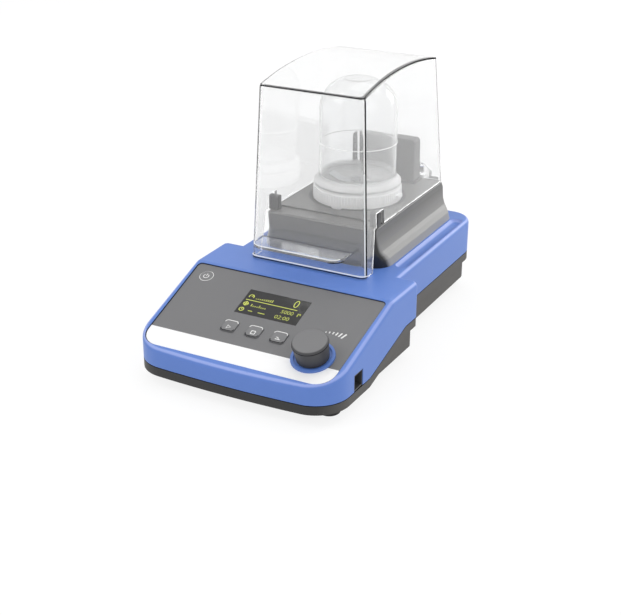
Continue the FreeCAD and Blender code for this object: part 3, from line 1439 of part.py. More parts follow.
for across, up in switch_places:
    half = d.switch_side / 2
    rectangle(switch_plan, across - half, across + half, up - half, up + half)
    ring(plunger_plan, across, up, d.switch_plunger_round)
pad(switches, "SwitchPad", switch_plan, d.switch_height)
pad(switches, "PlungerPad", plunger_plan, plunger_top - board_top - d.switch_height)
keep(switches, "key_switches")

# The push-and-turn knob with its encoder.
encoder = panel_body("encoder_body")
encoder_plan = new_sketch(encoder, "EncoderPlan", lift=board_top)
encoder_half = d.encoder_side / 2
rectangle(encoder_plan, d.knob_across - encoder_half, d.knob_across + encoder_half,
          d.knob_up - encoder_half, d.knob_up + encoder_half)
pad(encoder, "EncoderPad", encoder_plan, panel_ceiling - board_top - 0.1)
bush_top = -d.foil_thickness - 0.1
pad(encoder, "BushPad", ring(new_sketch(encoder, "Bush", lift=panel_ceiling - 0.1), d.knob_across, d.knob_up,
                             d.encoder_bush_round), bush_top - panel_ceiling + 0.1)
pocket(encoder, "EncoderBoreCut", ring(new_sketch(encoder, "EncoderBore", lift=bush_top), d.knob_across,
                                       d.knob_up, d.encoder_shaft_round + d.running_fit), bush_top - board_top - 2)
pocket(encoder, "PlungerSpaceCut", ring(new_sketch(encoder, "PlungerSpace", lift=board_top + 2), d.knob_across,
                                        d.knob_up, d.encoder_shaft_round + 0.6), 1.8)
keep(encoder, "encoder_body")


def knob_part(label, points):
    body = panel_body(label)
    profile = new_sketch(body, "Profile", plane="XZ_Plane", across=d.knob_across, lift=-d.knob_up)
    outline(profile, points)
    turned(body, "Turned", profile)
    return keep(body, label)


plunger_foot = board_top + 0.8
knob_part("encoder_plunger", [(0, plunger_foot), (d.encoder_shaft_round + 0.2, plunger_foot),
                              (d.encoder_shaft_round + 0.2, plunger_foot + 0.8), (0, plunger_foot + 0.8)])
shaft_foot = plunger_foot + 0.9
knob_bore_top = d.knob_height - 4
knob_part("encoder_shaft", [(0, shaft_foot), (d.encoder_shaft_round, shaft_foot),
                            (d.encoder_shaft_round, knob_bore_top - 0.1), (0, knob_bore_top - 0.1)])
knob_part("knob_collar", [
    (d.encoder_bush_round + 0.1, -d.foil_thickness), (d.collar_round, -d.foil_thickness),
    (d.collar_round, d.collar_rise), (d.collar_inner_round, d.collar_rise), (d.collar_inner_round, 0),
    (d.encoder_bush_round + 0.1, 0)])
knob_wall = d.knob_foot_round - 1.8
hub_round = d.encoder_shaft_round + 2.5
knob_bore = d.encoder_shaft_round + d.press_gap
knob_part("knob", [
    (knob_bore, d.knob_gap + 0.6), (hub_round, d.knob_gap + 0.6), (hub_round, d.knob_height - 3),
    (knob_wall, d.knob_height - 3), (knob_wall, d.knob_gap), (d.knob_foot_round, d.knob_gap),
    (d.knob_round, d.knob_height - d.knob_edge, d.knob_edge), (d.knob_round - d.knob_edge, d.knob_height),
    (0, d.knob_height), (0, knob_bore_top), (knob_bore, knob_bore_top)])

# BASE FURNITURE
# The power board on its posts, the low voltage inlet at the back and the service port at the side.
power_board_top = tray_floor + d.power_board_rise + d.board_thickness
power_half = d.power_board_length / 2
power_board = new_body("power_board")
power_plan = new_sketch(power_board, "PowerPlan", lift=tray_floor + d.power_board_rise)
rectangle(power_plan, -power_half, power_half, power_front, power_front + d.power_board_width)
for x, y in power_posts:
    ring(power_plan, x, y, d.board_screw_round + d.screw_gap)
pad(power_board, "PowerPad", power_plan, d.board_thickness)
keep(power_board, "power_board")
power_screws = new_body("power_screws")
head_plan = new_sketch(power_screws, "Heads", lift=power_board_top)
shank_plan = new_sketch(power_screws, "Shanks", lift=power_board_top)
for x, y in power_posts:
    ring(head_plan, x, y, d.board_head_round)
    ring(shank_plan, x, y, d.board_screw_round)
pad(power_screws, "HeadPad", head_plan, d.board_head_depth)
pad(power_screws, "ShankPad", shank_plan, d.board_thickness + d.board_screw_bite - 0.5, back=True)
keep(power_screws, "power_screws")
capacitors = new_body("capacitors")
can_plan = new_sketch(capacitors, "CanPlan", lift=power_board_top)
for place_number in (-2, -1, 0):
    ring(can_plan, d.capacitor_pitch * place_number, power_front + d.capacitor_back, d.capacitor_round)
pad(capacitors, "CanPad", can_plan, d.capacitor_height)
keep(capacitors, "capacitors")
sink = new_body("heat_sink")
sink_plan = new_sketch(sink, "SinkPlan", lift=power_board_top)
sink_front = power_front + d.sink_back
rectangle(sink_plan, -d.sink_half, d.sink_half, sink_front, sink_front + d.sink_depth)
pad(sink, "SinkPad", sink_plan, d.sink_height)
gap_plan = new_sketch(sink, "FinGap", lift=power_board_top + d.sink_height)
first_gap = d.fin_thickness - d.sink_half
rectangle(gap_plan, first_gap, first_gap + d.fin_gap, sink_front - d.cut_past, sink_front + d.sink_depth + d.cut_past)
gap_cut = pocket(sink, "FinGapCut", gap_plan, d.sink_height - d.sink_base)
fin_row = sink.newObject("PartDesign::LinearPattern", "FinRow")
fin_row.Originals = [gap_cut]
fin_row.Direction = (origin_part(sink, "X_Axis"), [""])
fin_row.Occurrences = int(d.fin_count.value)
bind(fin_row, "Length", d.sink_half * 2 - d.fin_gap - d.fin_thickness * 2)
sink.Tip = fin_row
keep(sink, "heat_sink")

inlet = new_body("dc_inlet")
inlet_half = d.inlet_width / 2 - d.screw_gap
inlet_face = new_sketch(inlet, "InletFace", plane="XZ_Plane", lift=-back)
rectangle(inlet_face, d.inlet_across - inlet_half, d.inlet_across + inlet_half,
          d.inlet_height - inlet_half, d.inlet_height + inlet_half)
pad(inlet, "InletPad", inlet_face, d.inlet_depth)
flange_y = back - d.shell_wall - 0.05
inlet_flange = new_sketch(inlet, "InletFlange", plane="XZ_Plane", lift=-flange_y)
inlet_out = inlet_half + d.inlet_flange
rectangle(inlet_flange, d.inlet_across - inlet_out, d.inlet_across + inlet_out,
          d.inlet_height - inlet_out, d.inlet_height + inlet_out)
pad(inlet, "InletFlangePad", inlet_flange, d.inlet_flange)
inlet_mouth = ring(new_sketch(inlet, "InletMouth", plane="XZ_Plane", lift=-back), d.inlet_across,
                   d.inlet_height, d.inlet_bore, d.inlet_pin)
pocket(inlet, "InletMouthCut", inlet_mouth, d.inlet_bore_depth, back=True)
keep(inlet, "dc_inlet")

port = new_body("side_port")
port_face_x = port_side - d.port_sink
port_front = port_y - d.port_width / 2 + d.screw_gap
port_rear = port_y + d.port_width / 2 - d.screw_gap
port_foot = d.parting_front + d.screw_gap
port_top = d.parting_front + d.port_tall - d.screw_gap
port_face = new_sketch(port, "PortFace", plane="YZ_Plane", lift=port_face_x)
rectangle(port_face, port_front, port_rear, port_foot, port_top)
pad(port, "PortPad", port_face, d.port_depth, back=True)
port_flange = new_sketch(port, "PortFlange", plane="YZ_Plane", lift=port_side - d.shell_wall - d.port_flange_gap)
rectangle(port_flange, port_front - d.inlet_flange, port_rear + d.inlet_flange, port_foot, port_top + d.inlet_flange)
pad(port, "PortFlangePad", port_flange, d.inlet_flange, back=True)
port_mouth = new_sketch(port, "PortMouth", plane="YZ_Plane", lift=port_face_x)
rectangle(port_mouth, port_front + d.port_wall, port_rear - d.port_wall, port_foot + d.port_wall,
          port_top - d.port_wall)
pocket(port, "PortMouthCut", port_mouth, d.port_depth - d.port_floor)
keep(port, "side_port")

doc.recompute()
failed = [thing.Label for thing in doc.Objects if "Invalid" in thing.State or "Error" in thing.State]
bad = [thing.Label for thing in sub_parts if thing.Shape.isNull() or not thing.Shape.isValid()]
if failed or bad:
    raise SystemExit(f"failed: {failed}, not valid: {bad}")
os.makedirs("parts", exist_ok=True)
for thing in sub_parts:
    thing.Shape.exportStep(f"parts/{thing.Label}.step")
    box = thing.Shape.BoundBox
    print(thing.Label, len(thing.Shape.Solids), "solids", round(thing.Shape.Volume / 1000, 2), "cm3", box)
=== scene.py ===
import json
import math

import bmesh
import bpy
from mathutils import Euler, Matrix, Vector


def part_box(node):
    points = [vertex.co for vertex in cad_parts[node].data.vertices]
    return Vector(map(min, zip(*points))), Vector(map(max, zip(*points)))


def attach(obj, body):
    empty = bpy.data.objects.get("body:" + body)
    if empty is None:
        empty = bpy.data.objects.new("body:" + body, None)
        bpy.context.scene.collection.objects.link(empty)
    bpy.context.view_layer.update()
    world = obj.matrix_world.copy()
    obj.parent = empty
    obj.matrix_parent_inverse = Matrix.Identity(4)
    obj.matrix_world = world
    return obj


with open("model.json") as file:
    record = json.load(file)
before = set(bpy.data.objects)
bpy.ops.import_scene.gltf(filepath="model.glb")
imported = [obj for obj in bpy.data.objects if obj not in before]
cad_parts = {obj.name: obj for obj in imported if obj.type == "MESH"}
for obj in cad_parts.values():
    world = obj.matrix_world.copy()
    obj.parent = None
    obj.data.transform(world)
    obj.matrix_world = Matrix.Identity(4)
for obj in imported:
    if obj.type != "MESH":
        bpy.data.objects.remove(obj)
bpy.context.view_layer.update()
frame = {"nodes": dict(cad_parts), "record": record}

print("frame loaded:", len(frame["nodes"]), "nodes")
scene = bpy.context.scene
scene.view_settings.view_transform = "Standard"
mm = 0.001

# Camera: where the photograph was taken from.
camera = {
    "place": (0.39350, -0.75545, 0.40478),
    "turn": 28.152,  # degrees to the left of straight ahead
    "tilt": 24.474,  # degrees below level
    "roll": 0.084,
    "lens": 71.45,
    "sensor": 36,
    "clipStart": 0.01,
}


def addCamera():
    data = bpy.data.cameras.new("photoCamera")
    data.lens = camera["lens"]
    data.sensor_width = camera["sensor"]
    data.clip_start = camera["clipStart"]
    item = bpy.data.objects.new("photoCamera", data)
    scene.collection.objects.link(item)
    item.location = camera["place"]
    look = Euler((math.radians(90 - camera["tilt"]), 0, math.radians(camera["turn"])), "XYZ").to_matrix()
    item.rotation_euler = (look @ Matrix.Rotation(math.radians(camera["roll"]), 3, "Z")).to_euler()
    scene.camera = item


addCamera()
print("camera placed")

# Stage and light.
studio = {
    "floorColour": (0.86, 0.86, 0.87),
    "floorGlow": 0.8,  # share of plain white that the camera, gloss and glass see in the floor
    "floorStrength": 1.06,
    "floorReach": 6.0,
    "floorDrop": 0.0002,  # keeps the floor just under the feet
    "worldStrength": 0.72,
    "aim": (0, 0, 0.08),
}
lamps = {
    "keyLamp": {"place": (-0.9, -0.7, 1.2), "size": 0.9, "power": 5.0},
    "fillLamp": {"place": (1.2, -0.5, 0.9), "size": 0.9, "power": 2.5},
    "topLamp": {"place": (0.1, 0.5, 1.4), "size": 1.17, "power": 5.0},
    "rearLamp": {"place": (0.6, 1.3, 0.55), "size": 0.63, "power": 5.0},
}


def feed(tree, slot, value):
    # Links the slot to a socket, or sets it to a plain value.
    if isinstance(value, bpy.types.NodeSocket):
        tree.links.new(value, slot)
    else:
        slot.default_value = value


def linked(tree, kind, **inputs):
    node = tree.nodes.new(kind)
    for name, value in inputs.items():
        feed(tree, node.inputs[name.replace("_", " ")], value)
    return node


def math2(tree, operation, a, b=0.0, clamp=False):
    node = tree.nodes.new("ShaderNodeMath")
    node.operation = operation
    node.use_clamp = clamp
    for slot, value in zip(node.inputs, (a, b)):
        feed(tree, slot, value)
    return node.outputs[0]


def ramp(tree, value, low, high):
    # 0 at low, 1 at high, held outside them.
    return math2(tree, "MULTIPLY", math2(tree, "SUBTRACT", value, low), 1 / (high - low), clamp=True)


def surfaceParts(tree, name):
    # The three numbers of a face's place (Object) or direction (Normal).
    split = tree.nodes.new("ShaderNodeSeparateXYZ")
    tree.links.new(tree.nodes.new("ShaderNodeTexCoord").outputs[name], split.inputs[0])
    return split.outputs


def mixColour(tree, factor, a, b):
    # A colour is a socket or its red, green and blue.
    node = tree.nodes.new("ShaderNodeMix")
    node.data_type = "RGBA"
    feed(tree, node.inputs[0], factor)
    for slot, colour in ((node.inputs[6], a), (node.inputs[7], b)):
        feed(tree, slot, (*colour, 1) if isinstance(colour, tuple) else colour)
    return node.outputs[2]


def mixShader(tree, factor, a, b):
    node = tree.nodes.new("ShaderNodeMixShader")
    for slot, value in zip(node.inputs, (factor, a, b)):
        feed(tree, slot, value)
    return node.outputs[0]


def seenDirectly(tree):
    path = tree.nodes.new("ShaderNodeLightPath").outputs
    onward = math2(tree, "MAXIMUM", path["Is Transmission Ray"], path["Is Glossy Ray"])
    return math2(tree, "MAXIMUM", path["Is Camera Ray"], onward)


def addFloor():
    mesh = bpy.data.meshes.new("floor")
    reach = studio["floorReach"]
    corners = [(-reach, -reach, 0), (reach, -reach, 0), (reach, reach, 0), (-reach, reach, 0)]
    mesh.from_pydata(corners, [], [(0, 1, 2, 3)])
    item = bpy.data.objects.new("floor", mesh)
    item.location.z = -studio["floorDrop"]
    scene.collection.objects.link(item)
    material = bpy.data.materials.new("paperFloor")
    material.use_nodes = True
    tree = material.node_tree
    tree.nodes.clear()
    paper = linked(tree, "ShaderNodeBsdfDiffuse", Color=(*studio["floorColour"], 1))
    glow = linked(tree, "ShaderNodeEmission", Color=(1, 1, 1, 1), Strength=studio["floorStrength"])
    share = math2(tree, "MULTIPLY", seenDirectly(tree), studio["floorGlow"])
    output = tree.nodes.new("ShaderNodeOutputMaterial")
    tree.links.new(mixShader(tree, share, paper.outputs[0], glow.outputs[0]), output.inputs[0])
    mesh.materials.append(material)


def addWorld():
    world = bpy.data.worlds.new("studioWorld")
    scene.world = world
    world.use_nodes = True
    tree = world.node_tree
    tree.nodes.clear()
    room = linked(tree, "ShaderNodeBackground", Color=(1, 1, 1, 1), Strength=studio["worldStrength"])
    white = linked(tree, "ShaderNodeBackground", Color=(1, 1, 1, 1), Strength=1.0)
    output = tree.nodes.new("ShaderNodeOutputWorld")
    tree.links.new(mixShader(tree, seenDirectly(tree), room.outputs[0], white.outputs[0]), output.inputs[0])


def addLamp(name, place, size, power):
    data = bpy.data.lights.new(name, "AREA")
    data.shape = "SQUARE"
    data.size = size
    data.energy = power
    item = bpy.data.objects.new(name, data)
    scene.collection.objects.link(item)
    item.location = place
    aim = Vector(studio["aim"]) - Vector(place)
    item.rotation_euler = aim.to_track_quat("-Z", "Y").to_euler()


addFloor()
addWorld()
for name, lamp in lamps.items():
    addLamp(name, lamp["place"], lamp["size"], lamp["power"])
print("stage and light set")

# Finishes.
# One shared group gives moulded and painted surfaces their grain, patches and fine relief.


def groupSocket(group, name, way, kind, value=None):
    socket = group.interface.new_socket(name=name, in_out=way, socket_type=kind)
    if value is not None:
        socket.default_value = value
    return socket


def makeGrainGroup():
    group = bpy.data.node_groups.new("mouldedGrain", "ShaderNodeTree")
    groupSocket(group, "Colour", "INPUT", "NodeSocketColor", (0.5, 0.5, 0.5, 1))
    groupSocket(group, "Tint Spread", "INPUT", "NodeSocketFloat", 0.06)
    groupSocket(group, "Grain Size", "INPUT", "NodeSocketFloat", 0.5)  # millimetres
    groupSocket(group, "Relief", "INPUT", "NodeSocketFloat", 0.1)
    groupSocket(group, "Roughness", "INPUT", "NodeSocketFloat", 0.45)
    groupSocket(group, "Roughness Spread", "INPUT", "NodeSocketFloat", 0.08)
    groupSocket(group, "Colour", "OUTPUT", "NodeSocketColor")
    groupSocket(group, "Roughness", "OUTPUT", "NodeSocketFloat")
    groupSocket(group, "Normal", "OUTPUT", "NodeSocketVector")
    entry = group.nodes.new("NodeGroupInput").outputs
    leave = group.nodes.new("NodeGroupOutput").inputs
    where = group.nodes.new("ShaderNodeTexCoord").outputs["Object"]

    def noise(scale, detail, **more):
        node = linked(group, "ShaderNodeTexNoise", Vector=where, Scale=scale, Detail=detail, **more)
        return node.outputs["Fac"]

    def swing(value, reach):
        # Noise swings about its middle, 0.5.
        return math2(group, "MULTIPLY", math2(group, "SUBTRACT", value, 0.5), reach)

    patches = noise(14.0, 3.0)
    smears = noise(70.0, 5.0, Distortion=0.4)
    grain = noise(math2(group, "DIVIDE", 1 / mm, entry["Grain Size"]), 2.0)
    fleck = swing(grain, math2(group, "MULTIPLY", entry["Tint Spread"], 0.8))
    value = math2(group, "ADD", math2(group, "ADD", 1.0, swing(patches, entry["Tint Spread"])), fleck)
    tint = linked(group, "ShaderNodeHueSaturation", Color=entry["Colour"], Value=value)
    group.links.new(tint.outputs[0], leave["Colour"])
    rough = swing(smears, entry["Roughness Spread"])
    group.links.new(math2(group, "ADD", entry["Roughness"], rough, clamp=True), leave["Roughness"])
    bump = linked(group, "ShaderNodeBump", Height=grain, Strength=entry["Relief"], Distance=0.1 * mm)
    group.links.new(bump.outputs[0], leave["Normal"])
    return group


grainGroup = makeGrainGroup()


def newMaterial(name):
    material = bpy.data.materials.new(name)
    material.use_nodes = True
    tree = material.node_tree
    tree.nodes.clear()
    shader = tree.nodes.new("ShaderNodeBsdfPrincipled")
    output = tree.nodes.new("ShaderNodeOutputMaterial")
    tree.links.new(shader.outputs[0], output.inputs[0])
    return material, tree, shader, output


def grainNode(tree, roughness, tint, grainSize, relief, roughSpread):
    node = tree.nodes.new("ShaderNodeGroup")
    node.node_tree = grainGroup
    for key, value in (("Tint Spread", tint), ("Grain Size", grainSize), ("Relief", relief),
                       ("Roughness", roughness), ("Roughness Spread", roughSpread)):
        node.inputs[key].default_value = value
    return node


def grained(name, colour, roughness=0.45, tint=0.06, grainSize=0.5, relief=0.1, roughSpread=0.08,
            metallic=0.0, **sockets):
    # The colour is its red, green and blue, or a function that gives a socket.
    material, tree, shader, _ = newMaterial(name)
    surface = grainNode(tree, roughness, tint, grainSize, relief, roughSpread)
    feed(tree, surface.inputs["Colour"], (*colour, 1) if isinstance(colour, tuple) else colour(tree))
    tree.links.new(surface.outputs["Colour"], shader.inputs["Base Color"])
    tree.links.new(surface.outputs["Roughness"], shader.inputs["Roughness"])
    tree.links.new(surface.outputs["Normal"], shader.inputs["Normal"])
    shader.inputs["Metallic"].default_value = metallic
    for key, value in sockets.items():
        shader.inputs[key.replace("_", " ")].default_value = value
    return material


clearWall = {"ior": 1.49, "rimBlend": 0.25, "rimPower": 3.0, "shadow": (0.97, 0.97, 0.97)}
clearGrain = {"tint": 0.02, "grainSize": 6.0, "relief": 0.0, "roughSpread": 0.03}


def clear(name, colour, transmission, roughness, rimShade=None):
    # A clear moulding: the part that isn't transmitted is its milky haze, and its wall is painted darker
    # toward a given rim colour where it is seen edge on, a painted shade for the dark outline of a clear
    # wall.
    material, tree, shader, output = newMaterial(name)
    surface = grainNode(tree, roughness, **clearGrain)
    surface.inputs["Colour"].default_value = (*colour, 1)
    tint = surface.outputs["Colour"]
    if rimShade:
        facing = linked(tree, "ShaderNodeLayerWeight", Blend=clearWall["rimBlend"]).outputs["Facing"]
        rim = math2(tree, "POWER", facing, clearWall["rimPower"], clamp=True)
        tint = mixColour(tree, rim, tint, rimShade)
    tree.links.new(tint, shader.inputs["Base Color"])
    tree.links.new(surface.outputs["Roughness"], shader.inputs["Roughness"])
    shader.inputs["Transmission Weight"].default_value = transmission
    shader.inputs["IOR"].default_value = clearWall["ior"]
    shadow = tree.nodes.new("ShaderNodeLightPath").outputs["Is Shadow Ray"]
    through = linked(tree, "ShaderNodeBsdfTransparent", Color=(*clearWall["shadow"], 1))
    tree.links.new(mixShader(tree, shadow, shader.outputs[0], through.outputs[0]), output.inputs[0])
    return material


# The panel's own frame: across, up the slope and out of the foil, in metres.
panel = {"slope": 18.3, "foilThickness": 0.6 * mm, "whiteBand": 17.4 * mm}
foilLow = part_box("panel_foil")[0]
slope = math.radians(panel["slope"])
panelPlace = Vector((0, foilLow.y, foilLow.z + panel["foilThickness"] * math.cos(slope)))
panelTurn = Matrix.Rotation(slope, 3, "X")


def onPanel(across, up, out=0.0):
    return panelPlace + panelTurn @ Vector((across, up, out))


tones = {
    # The crest tone is a painted highlight.
    "blue": (0.105, 0.215, 0.60), "blueCrestHighlight": (0.38, 0.46, 0.86),
    "foil": (0.165, 0.165, 0.17), "foilBand": (0.95, 0.95, 0.955),
    # The knob's two tones are painted light on its face and painted shade on its wall.
    "knobWallShade": (0.055, 0.055, 0.058), "knobFaceLit": (0.18, 0.18, 0.185),
    # The block's pale and dark tones are a painted highlight and a painted shade.
    "block": (0.115, 0.113, 0.11), "blockSheen": (0.40, 0.395, 0.38), "blockShade": (0.012, 0.012, 0.012),
    # The tray's two tones are painted shade on its front and painted light on its sides.
    "tray": (0.018, 0.0175, 0.017), "traySideLit": (0.062, 0.058, 0.053),
}
# How far a face looks up, 0 to 1, where the crest's painted highlight starts, is full, fades and is gone.
crest = {"start": 0.45, "full": 0.65, "fading": 0.93 - 1 / 12, "gone": 0.93, "share": 0.6}
blockHeights = {"foot": 58 * mm, "head": 84 * mm, "edge": 88.6 * mm}


def foilPrint(tree):
    # The print: a white band along the front edge, grey above it.
    where = tree.nodes.new("ShaderNodeTexCoord").outputs["Object"]
    flat = tree.nodes.new("ShaderNodeMapping")
    flat.vector_type = "TEXTURE"
    flat.inputs["Location"].default_value = panelPlace
    flat.inputs["Rotation"].default_value = (slope, 0, 0)
    tree.links.new(where, flat.inputs["Vector"])
    parts = tree.nodes.new("ShaderNodeSeparateXYZ")
    tree.links.new(flat.outputs[0], parts.inputs[0])
    inBand = math2(tree, "LESS_THAN", parts.outputs["Y"], panel["whiteBand"])
    return mixColour(tree, inBand, tones["foil"], tones["foilBand"])


def crestHighlightBlue(tree):
    # Painted highlight: the blue is painted paler on the rounded crest, where the moulding would catch the
    # light.
    rise = surfaceParts(tree, "Normal")["Z"]
    onset = ramp(tree, rise, crest["start"], crest["full"])
    fade = ramp(tree, rise, crest["gone"], crest["fading"])
    pale = math2(tree, "MULTIPLY", math2(tree, "MULTIPLY", onset, fade), crest["share"])
    return mixColour(tree, pale, tones["blue"], tones["blueCrestHighlight"])


def knobShadedPaint(tree):
    # Painted light and shade: faces that look the way the panel does are painted paler than the knob's
    # upright wall, which is painted dark as if in shade.
    normal = tree.nodes.new("ShaderNodeTexCoord").outputs["Normal"]
    dot = tree.nodes.new("ShaderNodeVectorMath")
    dot.operation = "DOT_PRODUCT"
    tree.links.new(normal, dot.inputs[0])
    dot.inputs[1].default_value = panelTurn @ Vector((0, 0, 1))
    return mixColour(tree, ramp(tree, dot.outputs["Value"], 0.75, 0.95), tones["knobWallShade"], tones["knobFaceLit"])


def blockSheenAndShade(tree):
    # The satin paint, with a painted highlight low on the flared sides and painted shade along their top edge
    # and at the front corner.
    height, normal = surfaceParts(tree, "Object")["Z"], surfaceParts(tree, "Normal")
    aside = ramp(tree, math2(tree, "ABSOLUTE", normal["X"]), 0.45, 0.8)
    low = ramp(tree, height, blockHeights["head"], blockHeights["foot"])
    pale = math2(tree, "MULTIPLY", math2(tree, "MULTIPLY", aside, low), 0.9)
    tone = mixColour(tree, pale, tones["block"], tones["blockSheen"])
    edge = ramp(tree, height, blockHeights["edge"] - mm, blockHeights["edge"])
    corner = ramp(tree, math2(tree, "MULTIPLY", normal["X"], normal["Y"]), -0.2, -0.4)
    dark = math2(tree, "MAXIMUM", corner, math2(tree, "MULTIPLY", aside, edge))
    return mixColour(tree, dark, tone, tones["blockShade"])


def trayShadedPaint(tree):
    # Painted light and shade: the tray's front is painted dark as if in shade, and its sides are painted
    # paler as if lit from the side.
    aside = ramp(tree, math2(tree, "ABSOLUTE", surfaceParts(tree, "Normal")["X"]), 0.5, 0.95)
    return mixColour(tree, aside, tones["tray"], tones["traySideLit"])


finish = {
    "housing_blue": grained("housingBlue", crestHighlightBlue, roughness=0.42, tint=0.05, relief=0.12),
    "tray_dark": grained("trayDark", trayShadedPaint, roughness=0.5, tint=0.15, relief=0.2),
    "block_grey": grained("blockGrey", blockSheenAndShade, roughness=0.32, tint=0.1, grainSize=0.35, relief=0.12),
    "foot_rubber": grained("footRubber", (0.03, 0.03, 0.03), roughness=0.75, tint=0.2, relief=0.3),
    "dark_plastic": grained("darkPlastic", (0.05, 0.05, 0.05), roughness=0.45, tint=0.15, relief=0.2),
    "clear_hood": clear("clearHood", (0.995, 0.997, 0.997), 0.94, 0.015),
    "clear_tube": clear("clearTube", (0.99, 0.993, 0.995), 0.93, 0.02, rimShade=(0.6, 0.6, 0.6)),
    "white_lid": clear("whiteLid", (0.95, 0.95, 0.95), 0.15, 0.35),
    "screw_steel": grained("screwSteel", (0.55, 0.56, 0.57), roughness=0.3, metallic=1.0, grainSize=0.3),
    "motor_steel": grained("motorSteel", (0.45, 0.46, 0.47), roughness=0.38, metallic=1.0, grainSize=0.4),
    "motor_iron": grained("motorIron", (0.25, 0.25, 0.26), roughness=0.55, metallic=1.0, grainSize=0.6),
    "bearing_steel": grained("bearingSteel", (0.7, 0.7, 0.72), roughness=0.18, metallic=1.0, relief=0.02),
    "plate_aluminium": grained("plateAluminium", (0.7, 0.7, 0.71), roughness=0.35, metallic=1.0,
                               grainSize=0.3),
    "drive_brass": grained("driveBrass", (0.72, 0.55, 0.26), roughness=0.3, metallic=1.0, grainSize=0.3),
    "seal_rubber": grained("sealRubber", (0.04, 0.04, 0.04), roughness=0.7, tint=0.2, relief=0.2),
    "fan_plastic": grained("fanPlastic", (0.06, 0.06, 0.06), roughness=0.5, tint=0.15),
    "foil_grey": grained("foilPrint", foilPrint, roughness=0.36, tint=0.05, grainSize=0.25, relief=0.08),
    "key_grey": grained("keyGrey", (0.19, 0.19, 0.195), roughness=0.4, tint=0.06, grainSize=0.3),
    "window_glass": grained("windowGlass", (0.012, 0.012, 0.012), roughness=0.12, tint=0.1, relief=0.0,
                            roughSpread=0.04),
    "board_green": grained("boardGreen", (0.03, 0.16, 0.08), roughness=0.35, tint=0.2, grainSize=1.5),
    "capacitor_sleeve": grained("capacitorSleeve", (0.03, 0.03, 0.08), roughness=0.3),
    "knob_grey": grained("knobGrey", knobShadedPaint, roughness=0.5, tint=0.08, grainSize=0.4, relief=0.15),
    "encoder_steel": grained("encoderSteel", (0.6, 0.6, 0.6), roughness=0.3, metallic=1.0, grainSize=0.3),
}

for entry in frame["record"]["subparts"]:
    item = frame["nodes"][entry["node"]]
    item.data.materials.clear()
    item.data.materials.append(finish[entry["material_slot"]])

# Pieces.
# Every piece is a mesh at the origin that rides on the body it is fixed to.


def addPiece(name, mesh, material, body):
    shape = bmesh.new()
    shape.from_mesh(mesh)
    bmesh.ops.recalc_face_normals(shape, faces=shape.faces)
    shape.to_mesh(mesh)
    shape.free()
    mesh.materials.clear()
    mesh.materials.append(material)
    item = bpy.data.objects.new(name, mesh)
    scene.collection.objects.link(item)
    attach(item, body)
    return item


def bakedMesh(item):
    # The finished mesh of an object with modifiers, or of a curve; the object itself goes.
    bpy.context.view_layer.update()
    ready = item.evaluated_get(bpy.context.evaluated_depsgraph_get())
    mesh = bpy.data.meshes.new_from_object(ready)
    bpy.data.objects.remove(item)
    return mesh


def rods(name, lines, radius, steps=2):
    # Round rods along lines of points (x, y, z) or (x, y, z, thickness), open or closed.
    curve = bpy.data.curves.new(name, "CURVE")
    curve.dimensions = "3D"
    curve.bevel_depth = radius
    curve.bevel_resolution = steps
    curve.use_fill_caps = True
    for points, closed in lines:
        spline = curve.splines.new("POLY")
        spline.points.add(len(points) - 1)
        for target, point in zip(spline.points, points):
            target.co = (*point[:3], 1)
            target.radius = point[3] if len(point) > 3 else 1.0
        spline.use_cyclic_u = closed
    item = bpy.data.objects.new(name, curve)
    scene.collection.objects.link(item)
    return bakedMesh(item)


def toPanel(mesh, lift, flatten):
    # Lays a mesh made flat in millimetres onto the panel, lift above its foil.
    for vertex in mesh.vertices:
        x, y, z = vertex.co
        vertex.co = onPanel(x * mm, y * mm, (z * flatten + lift) * mm)
    return mesh


def arc(cx, cy, radius, first, last, steps=16):
    # Flat points round a centre, from one angle in degrees to another.
    angles = [math.radians(first + (last - first) * step / steps) for step in range(steps + 1)]
    return [(cx + radius * math.cos(angle), cy + radius * math.sin(angle), 0) for angle in angles]


def roundedLoop(x0, x1, y0, y1, corner):
    corners = ((x1 - corner, y0 + corner, -90), (x1 - corner, y1 - corner, 0),
               (x0 + corner, y1 - corner, 90), (x0 + corner, y0 + corner, 180))
    return [point for cx, cy, first in corners for point in arc(cx, cy, corner, first, first + 90, 6)]


def shifted(lines, across, up, way=1):
    # Flat lines moved to their place on the panel; way -1 is for lines measured downward.
    return [([(across + x, up + way * y, 0) for x, y, _ in points], closed) for points, closed in lines]


def addPanelLines(name, lines, radius, lift, material, body, flatten=0.25):
    addPiece(name, toPanel(rods(name, lines, radius), lift, flatten), material, body)


printLift = 0.05
# The pale white serves both real print and painted highlight lines; the dark below it serves only painted
# shade lines.
printWhite = grained("printWhite", (0.86, 0.86, 0.85), roughness=0.45, tint=0.04, grainSize=0.3)
printDark = grained("printDark", (0.012, 0.012, 0.014), roughness=0.6, tint=0.1, grainSize=0.3,
                    Specular_IOR_Level=0.1)

# The digits and signs of the display, which glow.
readout = {
    "left": -23.6, "top": 72.75,  # the window's upper left corner on the panel
    "glow": (0.66, 0.72, 0.13), "dim": 0.75, "strength": 1.05, "cellScale": 1400.0,
    "unlit": (0.1, 0.11, 0.03), "roughness": 0.5,
    "lift": 0.0, "flatten": 0.3, "line": 0.3, "depth": 0.04, "thinning": -0.014,
    # What it reads, its left and right, its foot and its height, from that corner.
    "numbers": (("0", 37.8, 41.4, 8.4, 7.2), ("5000", 32.4, 42.0, 16.3, 3.3),
                ("02:00", 30.4, 41.6, 22.3, 3.3)),
}
# Strokes beside the dial that grow to a level, and a plain scale beside the target.
bars = {"left": 8.8, "pitch": 1.6, "levelCount": 9, "levelFoot": 8.6, "levelHead": 8.0, "levelGrowth": 0.24,
        "scaleCount": 8, "scaleFoot": 16.4, "scaleHead": 15.4, "scaleLonger": 1.4, "scaleEvery": 4}


def bar(step, foot, head):
    across = bars["left"] + step * bars["pitch"]
    return ([(across, foot, 0), (across, head, 0)], False)


